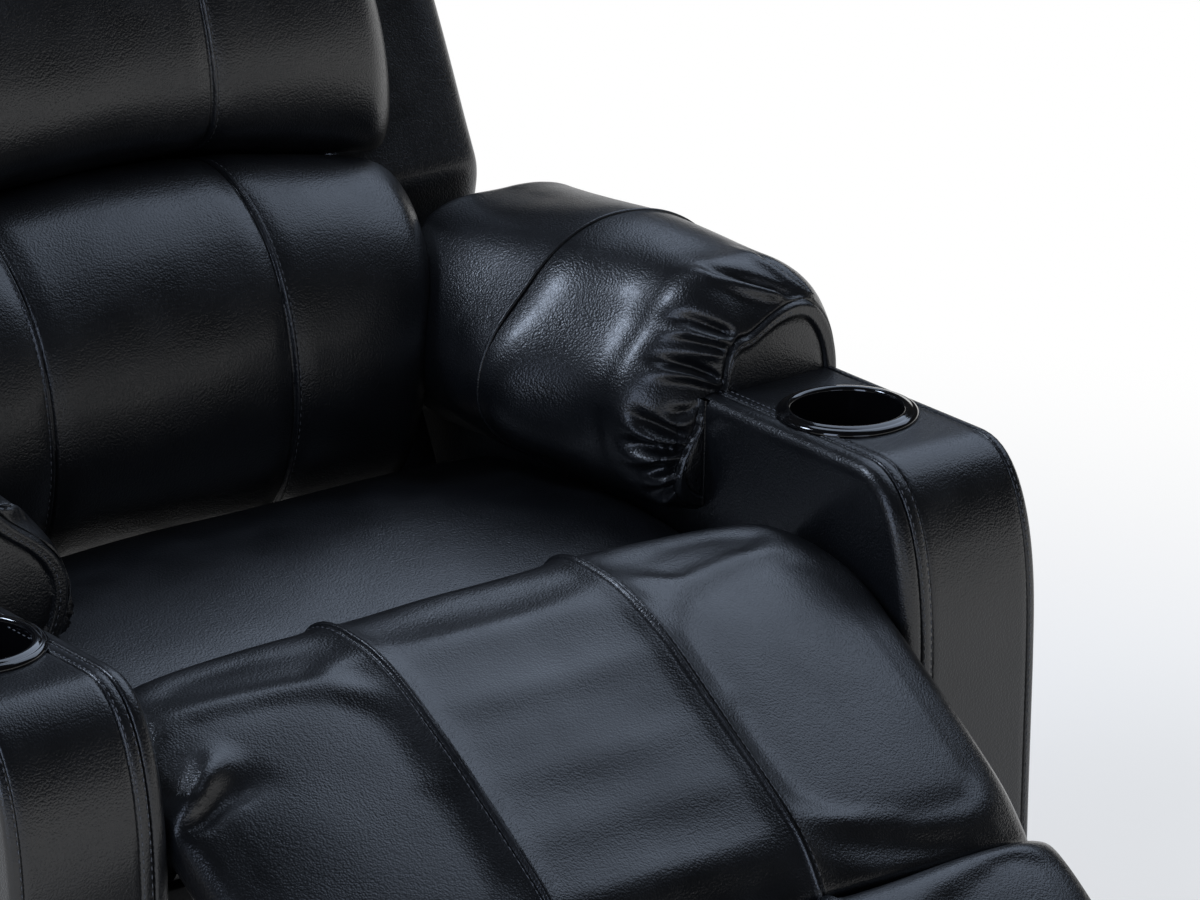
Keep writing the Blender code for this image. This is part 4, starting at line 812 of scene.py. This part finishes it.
def makeWings():
    def rule(u, v, w):
        share = (v + 1) / 2
        up = wing["low"] + (wing["high"] - wing["low"]) * share
        crest = wing["crest"] * smoothStep(0.85, 1.0, share)
        outer = wing["foot"] + (wing["outer"] - wing["foot"]) * smoothStep(*wing["footTop"], up) - crest
        x = wing["inner"] + (outer - wing["inner"]) * (u + 1) / 2
        front = wing["front"] - crest - wing["undercut"] * (1 - smoothStep(*wing["undercutTop"], up))
        out = wing["rear"] + (front - wing["rear"]) * (w + 1) / 2
        return Vector((x, *onBack(up, out)))

    left = uneven(subdivided(roundedBlock(wing["divisions"], wing["power"], rule), 1), *wing["hills"])
    for label, bm in (("left", left), ("right", mirroredShape(left))):
        makePiece("wing_" + label + "_leather", bm, leatherLook, "back",
                  replaces=["back_wing_" + label])

    def liningRule(u, v, w):
        up = float(np.interp(v, (-1, 0, 1), lining["ups"]))
        out = lining["rear"] + (lining["front"] - lining["rear"]) * (w + 1) / 2
        return Vector((u * (lining["above"] if v > 0 else lining["half"]), *onBack(up, out)))

    makePiece("back_lining_leather", softBlock((2, 2, 1), liningRule), leatherLook, "back", sharp=40)


makeWings()
print("wings made")


# Arms: a leather cover over the box, with a rolled inner rim and a stitched tape beside it
# Across the arm, everything is in mm: how far from the inner face, and how far below the arm's outline
arm = {"inner": armLow.x, "outer": armHigh.x, "top": armHigh.z, "bottom": armLow.z,
       "length": armHigh.y - armLow.y, "noseCentre": (0.070, 0.456), "noseRadii": (0.069, 0.150),
       "nosePower": 2.4, "noseFront": ((0.0045, 0.0), (0.0025, 0.315), (0.001, 0.426)), "tailRadius": 0.150,
       "wall": 0.0026, "columns": 230, "rim": 11.0, "edge": 6.0, "panelInset": 34.0, "panelRing": 0.985,
       "topSag": 0.4, "stitches": (18.3, 24.9, 124.6), "stitchSpan": (0.02, 0.96, 300), "sideReach": 0.004,
       "nearTop": 0.03, "windowGap": 0.0006}
boxFrame = {"gap": 4.2, "wall": 0.016, "steps": 16, "holeGap": 0.002}
tapeLine = ((13.2, -0.7), (14.6, -0.2), (15.4, 0.9), (16.0, 2.4), (16.6, 1.0), (17.2, -0.4), (18.1, -0.6),
            (18.9, -0.9), (20.5, -1.2), (22.6, -1.2), (24.2, -0.9), (25.0, -0.6), (25.9, -0.4), (26.5, 0.7),
            (27.1, 1.4), (27.8, 0.5), (29.0, 0.0))
edgeLine = ((120.5, 0.2), (121.6, 0.6), (122.3, 1.6), (123.0, 0.6), (124.2, 0.1), (125.4, 0.2))
armWide = (arm["outer"] - arm["inner"]) * 1000


def armBand():
    # from the inner face over the rim, the tape and the top to the outer face
    rim, edge, inset = arm["rim"], arm["edge"], arm["panelInset"]
    turns = [math.radians(a) for a in range(12, 91, 13)]
    band = [(0.0, inset), (0.0, 24.0), (0.0, 16.0), (0.0, rim + 1.5)]
    band += [(rim - rim * math.cos(a), rim - rim * math.sin(a) - a / math.pi) for a in turns]
    band += tapeLine
    band += [(29.0 + 91.0 * k / 20, -arm["topSag"] * math.sin(math.pi * k / 20)) for k in range(1, 20)]
    band += edgeLine
    turns = [math.radians(a) for a in range(15, 91, 15)]
    band += [(armWide - edge + edge * math.sin(a), edge + 0.2 - edge * math.cos(a)) for a in turns]
    return band + [(armWide, 10.0), (armWide, 18.0), (armWide, inset)]


def armOutline():
    (centreY, centreZ), (wide, tall) = arm["noseCentre"], arm["noseRadii"]
    points = [(y, max(z, arm["bottom"])) for y, z in arm["noseFront"]]
    power = 2 / arm["nosePower"]
    for k in range(33):
        a = math.radians(90 * k / 32)
        points.append((centreY - wide * math.cos(a) ** power, centreZ + tall * math.sin(a) ** power))
    radius = arm["tailRadius"]
    for k in range(25):
        a = math.radians(90 - 90 * k / 24)
        points.append((arm["length"] - radius + radius * math.cos(a),
                       arm["top"] - radius + radius * math.sin(a)))
    return points + [(arm["length"], arm["bottom"])]


armPath = evenPath(armOutline())


def armPoint(share, across, inset):
    place, normal = armPath(share)
    place = place - normal * inset
    return Vector((arm["inner"] + across, place.x, max(place.y, arm["bottom"])))


def flatSide(bm, faces):
    # a narrow ring inside a side's outline keeps the panel's shading flat
    made = bmesh.ops.extrude_face_region(bm, geom=faces)["geom"]
    bmesh.ops.delete(bm, geom=[f for f in faces if f.is_valid], context="FACES_ONLY")
    panels = [g for g in made if isinstance(g, bmesh.types.BMFace)]
    corners = {v for f in panels for v in f.verts}
    middle = sum((v.co for v in corners), Vector()) / len(corners)
    for corner in corners:
        corner.co.yz = middle.yz + (corner.co.yz - middle.yz) * arm["panelRing"]
    bmesh.ops.triangulate(bm, faces=panels, quad_method="BEAUTY", ngon_method="BEAUTY")


def cutRound(bm, radius):
    # the cup holder's hole: faces inside it go, and the corners round it are drawn to its rim
    centre, floor = Vector((cup["x"], cup["y"])), arm["top"] - arm["nearTop"]
    middles = [(f, f.calc_center_median()) for f in bm.faces]
    inside = [f for f, middle in middles if middle.z > floor and (middle.xy - centre).length < radius]
    bmesh.ops.delete(bm, geom=inside, context="FACES")
    for vertex in bm.verts:
        away = vertex.co.xy - centre
        if vertex.is_boundary and vertex.co.z > floor and away.length < radius * 1.2:
            vertex.co.xy = centre + away.normalized() * radius


def cutWindow(bm, low, high):
    # the control panel's opening in the outer side
    side = arm["outer"] - arm["sideReach"]
    for normal in (Vector((0, 1, 0)), Vector((0, 0, 1))):
        for corner in (low, high):
            near = [f for f in bm.faces if f.calc_center_median().x > side]
            geom = [*near, *{e for f in near for e in f.edges}, *{v for f in near for v in f.verts}]
            bmesh.ops.bisect_plane(bm, geom=geom, dist=sameSpot, plane_co=corner, plane_no=normal)
    gone = [f for f in bm.faces if f.calc_center_median().x > side
            and all(low[k] < f.calc_center_median()[k] < high[k] for k in (1, 2))]
    bmesh.ops.delete(bm, geom=gone, context="FACES")


def armShell(band, wall, holeRadius, window=None):
    # a sheet over the outline with two filled sides, a round hole on top, and a wall that grows inwards
    rows = len(band) - 1

    def rule(u, v):
        across, inset = band[round(v * rows)]
        return armPoint(u, across / 1000, inset / 1000)

    bm = gridSheet(arm["columns"], rows, rule)
    cutRound(bm, holeRadius)
    for x in (band[0][0], band[-1][0]):
        place = arm["inner"] + x / 1000
        rim = [e for e in bm.edges if e.is_boundary and all(abs(v.co.x - place) < sameSpot for v in e.verts)
               and max(v.co.z for v in e.verts) > arm["bottom"] + 0.001]
        ends = {}
        for e in rim:
            for v in e.verts:
                ends[v] = ends.get(v, 0) + 1
        rim.append(bm.edges.new([v for v, count in ends.items() if count == 1]))
        made = bmesh.ops.edgeloop_fill(bm, edges=rim)["faces"]
        if wall < boxFrame["wall"]:
            flatSide(bm, made)
    if window:
        cutWindow(bm, *window)
    bmesh.ops.recalc_face_normals(bm, faces=bm.faces)
    helper = objectFrom("helper", bm)
    thicken = helper.modifiers.new("wall", "SOLIDIFY")
    thicken.thickness = wall
    thicken.offset = -1.0
    return shapeOf(helper)


cup = {"x": 0.400, "y": 0.154, "flange": 0.056, "mouth": 0.044, "thick": 0.006, "depth": 0.078,
       "floor": 0.039, "wall": 0.0025, "steps": 96, "radii": (0.004, 0.0034, 0.0044),
       "ledgeGap": 0.0002, "holeGap": 0.001}


def roundPart(profile, steps, centre):
    # turns a profile of (radius, height) once round an upright axis
    bm = bmesh.new()
    corners = [bm.verts.new((r, 0.0, z)) for r, z in profile]
    edges = [bm.edges.new(pair) for pair in zip(corners, corners[1:])]
    bmesh.ops.spin(bm, geom=[*corners, *edges], cent=(0, 0, 0), axis=(0, 0, 1), dvec=(0, 0, 0),
                   angle=2 * math.pi, steps=steps, use_merge=True)
    bmesh.ops.remove_doubles(bm, verts=bm.verts, dist=sameSpot)
    bmesh.ops.recalc_face_normals(bm, faces=bm.faces)
    bmesh.ops.translate(bm, vec=centre, verts=bm.verts)
    return bm


def arc(centre, radius, start, end, count):
    spots = [math.radians(start + (end - start) * k / count) for k in range(count + 1)]
    return [(centre[0] + radius * math.cos(a), centre[1] + radius * math.sin(a)) for a in spots]


def cupHolder(side):
    # one gloss moulding: a broad ring with a rolled inner lip and a soft outer edge, and a tapered well
    ledge = arm["top"] + cup["ledgeGap"]
    top = arm["top"] + 0.0006 + cup["thick"]
    foot, wall, mouth, flange = top - cup["depth"], cup["wall"], cup["mouth"], cup["flange"]
    footRadius, lip, edge = cup["radii"]
    profile = [(0.0, foot)] + arc((cup["floor"] - footRadius, foot + footRadius), footRadius, -90, 0, 5)
    profile += [(mouth - 0.0016, top - 0.014), (mouth - 0.0004, top - 0.006)]
    profile += arc((mouth + 0.0030, top - lip), lip, 180, 60, 8)
    profile += [(mouth + 0.0068, top - 0.0012), (flange - 0.0050, top - 0.0014)]
    profile += arc((flange - edge, top - 0.0058), edge, 80, 0, 6)
    profile += [(flange, ledge), (mouth + wall, ledge), (cup["floor"] + wall, foot - wall),
                (0.0, foot - wall)]
    return roundPart(profile, cup["steps"], (side * cup["x"], cup["y"], 0))


def makeArms():
    panelLow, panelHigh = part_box("control_panel")
    gap = arm["windowGap"]
    window = (Vector((0, panelLow.y - gap - armFront, panelLow.z - gap)),
              Vector((0, panelHigh.y + gap - armFront, panelHigh.z + gap)))
    hole = cup["mouth"] + cup["wall"] + cup["holeGap"]
    band = armBand()
    first, length, steps = arm["stitchSpan"]
    shares = [first + length * k / steps for k in range(steps + 1)]
    normals = [Vector((0, *armPath(share)[1])) for share in shares]
    stitches = bmesh.new()
    for across in arm["stitches"]:
        inset = float(np.interp(across, *zip(*band)))
        stitchRow(stitches, [armPoint(share, across / 1000, inset / 1000) for share in shares], normals)
    gap, steps = boxFrame["gap"], boxFrame["steps"]
    frameBand = [(gap + (armWide - 2 * gap) * k / steps, gap) for k in range(steps + 1)]
    for side, label in ((1, "left"), (-1, "right")):
        shape = armShell(band, arm["wall"], hole, window if side < 0 else None)
        box = armShell(frameBand, boxFrame["wall"], hole + boxFrame["holeGap"])
        sewing = stitches.copy()
        if side < 0:
            shape, box, sewing = (mirroredShape(bm) for bm in (shape, box, sewing))
        makePiece("arm_cover_" + label + "_leather", shape, leatherLook, "base",
                  replaces=["arm_cover_" + label], sharp=60)
        makePiece("arm_frame_" + label + "_plywood", box, timberLook, "base", "timber",
                  ["arm_frame_" + label], sharp=30)
        makePiece("arm_stitches_" + label, sewing, threadLook, "base")
        makePiece("cup_holder_" + label + "_moulding", cupHolder(side), glossLook, "base", "gloss_plastic",
                  ["cup_holder_" + label], sharp=50)


makeArms()
print("arms made")


# Arm pillows: distances of the skin from a line along the arm, every 45 degrees from the outer side over
# the top, at four places along the arm. The front end is gathered into a taped seam round an end panel.
# The folds have pixels of the photograph, depth, width and ridge.
pillow = {"line": (0.375, 0.585), "front": 0.252, "rear": 0.554, "tail": 0.036, "columns": 232, "body": 104,
          "tailSteps": 12, "crowding": 1.5, "rise": 2.4, "pipeY": 0.416, "pipe": 0.0017, "pipeLift": 0.0006,
          "pipeSteps": (160, 10), "tape": 0.915, "tapeSpan": (58, 157, 120), "hem": (-0.001, 0.008),
          "dome": 0.006, "shoulder": 0.0022, "hills": (0.08, 0.0025, 4.2), "sink": 0.002,
          "endPanel": (0.0, 0.2, 0.4, 0.55, 0.68, 0.78, 0.84),
          "endTape": ((0.865, -0.0005), (0.880, -0.0034), (0.900, -0.0040), (0.915, -0.0034),
                      (0.945, -0.0042), (0.968, -0.0038), (0.984, -0.0006), (1.0, 0.0022))}
bodyRings = ((0.52, (0.099, 0.124, 0.121, 0.118, 0.137, 0.103, 0.070, 0.090)),
             (1.00, (0.095, 0.114, 0.109, 0.130, 0.131, 0.104, 0.070, 0.090)))
pillowRings = {
    "left": ((0.00, (0.093, 0.104, 0.062, 0.030, 0.046, 0.086, 0.070, 0.090)),
             (0.20, (0.097, 0.125, 0.111, 0.087, 0.096, 0.097, 0.070, 0.090))) + bodyRings,
    "right": ((0.00, (0.093, 0.112, 0.098, 0.096, 0.122, 0.108, 0.070, 0.090)),
              (0.20, (0.097, 0.123, 0.114, 0.112, 0.134, 0.107, 0.070, 0.090))) + bodyRings,
}
pillowFolds = [
    (((812, 303), (795, 297), (762, 284), (716, 270), (672, 260)), 0.0080, 0.0050, 1.0),
    (((806, 289), (790, 276), (768, 260), (738, 244)), 0.0045, 0.0050, 0.8),
    (((757, 349), (728, 333), (690, 320), (648, 320)), 0.0090, 0.0046, 1.0),
    (((744, 356), (716, 346), (688, 340), (655, 338)), 0.0050, 0.0040, 0.8),
    (((716, 378), (692, 367), (662, 360), (636, 356)), 0.0075, 0.0048, 0.9),
    (((686, 438), (664, 430), (643, 420), (622, 404)), 0.0100, 0.0050, 1.0),
    (((703, 404), (690, 412), (676, 414), (658, 404)), 0.0045, 0.0050, 0.7),
    (((682, 450), (656, 448), (632, 444), (610, 438)), 0.0085, 0.0055, 0.9),
    (((680, 468), (658, 470), (636, 474)), 0.0080, 0.0055, 0.9),
    (((680, 486), (660, 490), (640, 494)), 0.0060, 0.0050, 0.8),
]


def pillowRadius(rings, share, angle):
    index = 0
    while index < len(rings) - 2 and share > rings[index + 1][0]:
        index += 1
    low, high = rings[index], rings[index + 1]
    t = (share - low[0]) / (high[0] - low[0])
    t = 1 - (1 - min(1.0, max(0.0, t))) ** pillow["rise"] if index == 0 else smoothStep(0, 1, t)
    place = (angle % (2 * math.pi)) / (math.pi / 4)
    step = int(place) % 8
    mix = (1 - math.cos((place - int(place)) * math.pi)) / 2
    values = [radii[step] * (1 - mix) + radii[(step + 1) % 8] * mix for radii in (low[1], high[1])]
    return values[0] * (1 - t) + values[1] * t


def pillowPlace(rings, share, angle, scale=1.0, push=0.0):
    radius = pillowRadius(rings, share, angle) * scale
    x, z = pillow["line"]
    y = pillow["front"] + (pillow["rear"] - pillow["front"]) * share + push
    return Vector((x + radius * math.cos(angle), y, z + radius * math.sin(angle)))


def pillowShape(rings):
    # stations along the skin: the share of the body's length, the scale of the ring and a push forwards
    stations = [(0.0, s, -pillow["dome"] * (1 - s**2)) for s in pillow["endPanel"]]
    stations += [(0.0, scale, push) for scale, push in pillow["endTape"]]
    body, tail = pillow["body"], pillow["tailSteps"]
    stations += [((k / body) ** pillow["crowding"], 1.0, pillow["shoulder"] * max(0.0, 1 - k / 3))
                 for k in range(1, body + 1)]
    stations += [(1.0, math.cos(a), pillow["tail"] * math.sin(a))
                 for a in (math.radians(90 * k / tail) for k in range(1, tail + 1))]
    last = len(stations) - 1

    def rule(u, v):
        share, scale, push = stations[round(v * last)]
        return pillowPlace(rings, share, 2 * math.pi * u, scale, push)

    bm = gridSheet(pillow["columns"], last, rule)
    bmesh.ops.recalc_face_normals(bm, faces=bm.faces)
    return uneven(bm, *pillow["hills"])


def pillowPiping(rings):
    # the cross seam: a thin piped cord that follows the skin round the pillow
    share = (pillow["pipeY"] - pillow["front"]) / (pillow["rear"] - pillow["front"])
    radius = pillow["pipe"]

    def rule(u, v):
        angle, turn = 2 * math.pi * u, 2 * math.pi * v
        place = pillowPlace(rings, share, angle, 1.0, radius * math.cos(turn))
        out = Vector((math.cos(angle), 0, math.sin(angle)))
        return place + out * (radius * math.sin(turn) + pillow["pipeLift"])

    bm = gridSheet(*pillow["pipeSteps"], rule)
    bmesh.ops.recalc_face_normals(bm, faces=bm.faces)
    return bm


def pillowStitches(rings, surface):
    # a row along the tape of the gathered end
    tree = BVHTree.FromBMesh(surface)
    first, turn, steps = pillow["tapeSpan"]
    places, normals = [], []
    for k in range(steps + 1):
        start = pillowPlace(rings, 0.0, math.radians(first + turn * k / steps), pillow["tape"], -0.03)
        hit, normal, _, _ = tree.ray_cast(start, Vector((0, 1, 0)), 0.06)
        if hit:
            places.append(hit)
            normals.append(normal)
    bm = bmesh.new()
    stitchRow(bm, places, normals)
    return bm


def restedOn(bm):
    # presses what would be inside the arm flat against its top
    rest = arm["top"] - pillow["sink"]
    for vertex in bm.verts:
        if arm["inner"] - 0.0005 < vertex.co.x < arm["outer"] + 0.0005 and vertex.co.z < rest:
            vertex.co.z = rest
    return bm


def makePillows():
    moves = []
    for side, label in ((1, "left"), (-1, "right")):
        rings = pillowRings[label]
        shape = pillowShape(rings)
        if not moves:
            hem = [smoothStep(*pillow["hem"], v.co.y - pillow["front"]) for v in shape.verts]
            moves = [move * keep for move, keep in zip(foldMoves(shape, pillowFolds), hem)]
        shape = pressed(shape, moves)
        sewing = pillowStitches(rings, shape)
        parts = [restedOn(shape), restedOn(pillowPiping(rings)), sewing]
        if side < 0:
            parts = [mirroredShape(bm) for bm in parts]
        makePiece("arm_pillow_" + label + "_leather", parts[0], leatherLook, "base",
                  replaces=["arm_pillow_" + label], sharp=80)
        makePiece("arm_pillow_" + label + "_piping", parts[1], leatherLook, "base")
        makePiece("arm_pillow_" + label + "_stitches", parts[2], threadLook, "base")


makePillows()
print("arm pillows made")


# Hard parts: each CAD solid is copied, its triangles are merged to faces and its edges are broken
hardParts = {
    "steel": (steelLook, 0.0005, (
        "side_plate", "drive_link", "idler_link", "lower_arm", "upper_arm", "footrest_bracket",
        "back_bracket", "torque_tube", "back_shaft", "footrest_drive_tube", "footrest_drive_yoke",
        "back_drive_tube", "back_drive_yoke", "seat_spring")),
    "timber": (clothLook, 0.0015, ("seat_rail", "footrest_board", "back_board", "base_tie")),
    "matte_plastic": (mattLook, 0.0012, (
        "foot_front", "foot_rear", "footrest_drive_motor", "back_drive_motor", "power_inlet", "button")),
    "gloss_plastic": (glossLook, 0.0008, ("control_panel",)),
    "leather": (leatherLook, 0.003, ("back_rear_panel", "rear_panel")),
}


def refined(node, look, edge, slot):
    source = frame["nodes"][node].data
    bm = bmesh.new()
    bm.from_mesh(source)
    bmesh.ops.remove_doubles(bm, verts=bm.verts, dist=0.00002)
    bmesh.ops.dissolve_limit(bm, angle_limit=math.radians(1), verts=bm.verts, edges=bm.edges)
    sharp = [e for e in bm.edges if len(e.link_faces) == 2 and e.calc_face_angle(0) > math.radians(50)]
    bmesh.ops.bevel(bm, geom=sharp, offset=edge, offset_type="OFFSET", affect="EDGES", segments=2,
                    profile=0.5, material=-1, clamp_overlap=True)
    bmesh.ops.translate(bm, vec=(0, -armFront, 0), verts=bm.verts)
    body = next(name for name, nodes in frame["record"]["behaviour"]["bodies"].items() if node in nodes)
    makePiece(node + "_finished", bm, look, body, slot, [node], sharp=35)


def makeHardParts():
    for slot, (look, edge, stems) in hardParts.items():
        for node in sorted(frame["nodes"]):
            if node.startswith(stems):
                refined(node, look, edge, slot)


makeHardParts()
print("hard parts made")


# Floor, background and lamps
# lamps: name, direction, distance, size, watts for a square metre, colour
studio = {"floorRadius": 30.0, "shadowIn": 1.0, "shadowOut": 2.2, "lift": 0.5, "floor": "#f2f2f2",
          "horizon": 0.13, "above": 0.02, "soft": 0.35, "middle": (0.05, 0.15, 0.55),
          "lamps": (
              ("overhead", (0.62, 0.20, 0.76), 2.6, (2.6, 2.0), 6.0, "#d4e5ff"),
              ("top_left", (-0.46, 0.44, 0.77), 2.4, (0.5, 0.5), 95.0, "#d8e7ff"),
              ("front_left", (-0.76, -0.39, 0.30), 3.0, (1.2, 1.6), 12.5, "#cfe0ff"),
              ("front_low", (-0.20, -0.97, 0.12), 3.2, (1.4, 0.8), 3.0, "#cfe0ff"),
          )}


def combined(tree, first, second, **settings):
    links = {0: first, 1: second}
    return addNode(tree, "ShaderNodeMath", {}, links, **settings).outputs[0]


def seenDirectly(tree):
    # 1 for rays from the camera, from a gloss reflection or through glass
    path = addNode(tree, "ShaderNodeLightPath").outputs
    total = combined(tree, path["Is Camera Ray"], path["Is Glossy Ray"], operation="ADD")
    return combined(tree, total, path["Is Transmission Ray"], operation="ADD", use_clamp=True)


def makeFloor():
    # white paper: it keeps the chair's shadow nearby and fades to plain white further out
    bm = bmesh.new()
    bmesh.ops.create_circle(bm, cap_ends=True, segments=96, radius=studio["floorRadius"])
    floor = objectFrom("studio_floor", bm)
    material, tree, shader, coords = newMaterial("studio_paper_white", Base_Color=linear(studio["floor"]),
                                                 Roughness=0.9, Specular_IOR_Level=0.1)
    distance = addNode(tree, "ShaderNodeVectorMath", {}, {0: coords}, operation="LENGTH")
    reach = {"From Min": studio["shadowIn"], "From Max": studio["shadowOut"]}
    far = addNode(tree, "ShaderNodeMapRange", reach, {"Value": distance.outputs["Value"]},
                  interpolation_type="SMOOTHSTEP")
    share = addNode(tree, "ShaderNodeMapRange", {"To Min": studio["lift"]},
                    {"Value": far.outputs["Result"]})
    seen = combined(tree, share.outputs["Result"], seenDirectly(tree), operation="MULTIPLY")
    glow = addNode(tree, "ShaderNodeEmission", {"Color": (1, 1, 1, 1), "Strength": 1.0})
    mix = addNode(tree, "ShaderNodeMixShader", {}, {0: seen, 1: shader.outputs[0], 2: glow.outputs[0]})
    tree.links.new(mix.outputs[0], tree.nodes["Material Output"].inputs["Surface"])
    floor.data.materials.append(material)


def makeWorld():
    # white for the camera, white near the horizon and dark above it in reflections, grey for soft light
    world = bpy.data.worlds.new("studio")
    scene.world = world
    world.use_nodes = True
    tree = world.node_tree
    tree.nodes.clear()
    coords = addNode(tree, "ShaderNodeTexCoord").outputs["Generated"]
    axes = addNode(tree, "ShaderNodeSeparateXYZ", {}, {0: coords})
    fade = {"From Min": 0.0, "From Max": studio["horizon"], "To Min": 1.0, "To Max": studio["above"]}
    height = addNode(tree, "ShaderNodeMapRange", fade, {"Value": axes.outputs["Z"]},
                     interpolation_type="SMOOTHSTEP")
    path = addNode(tree, "ShaderNodeLightPath")
    reflected = addNode(tree, "ShaderNodeMix", {2: studio["soft"]},
                        {0: seenDirectly(tree), 3: height.outputs["Result"]})
    strength = addNode(tree, "ShaderNodeMix", {3: 1.0},
                       {0: path.outputs["Is Camera Ray"], 2: reflected.outputs[0]})
    shade = addNode(tree, "ShaderNodeBackground", {"Color": (1, 1, 1, 1)},
                    {"Strength": strength.outputs[0]})
    out = addNode(tree, "ShaderNodeOutputWorld")
    tree.links.new(shade.outputs[0], out.inputs["Surface"])


def makeLamps():
    middle = Vector(studio["middle"]) + Vector((0, armFront, 0))
    for name, way, distance, size, perArea, code in studio["lamps"]:
        data = bpy.data.lights.new(name, "AREA")
        data.shape = "RECTANGLE"
        data.size, data.size_y = size
        data.energy = perArea * size[0] * size[1]
        data.color = linear(code)[:3]
        lamp = bpy.data.objects.new(name, data)
        direction = Vector(way).normalized()
        lamp.location = middle + direction * distance
        lamp.rotation_euler = (-direction).to_track_quat("-Z", "Y").to_euler()
        scene.collection.objects.link(lamp)


makeFloor()
makeWorld()
makeLamps()
scene.view_settings.view_transform = "Standard"
print("studio made")
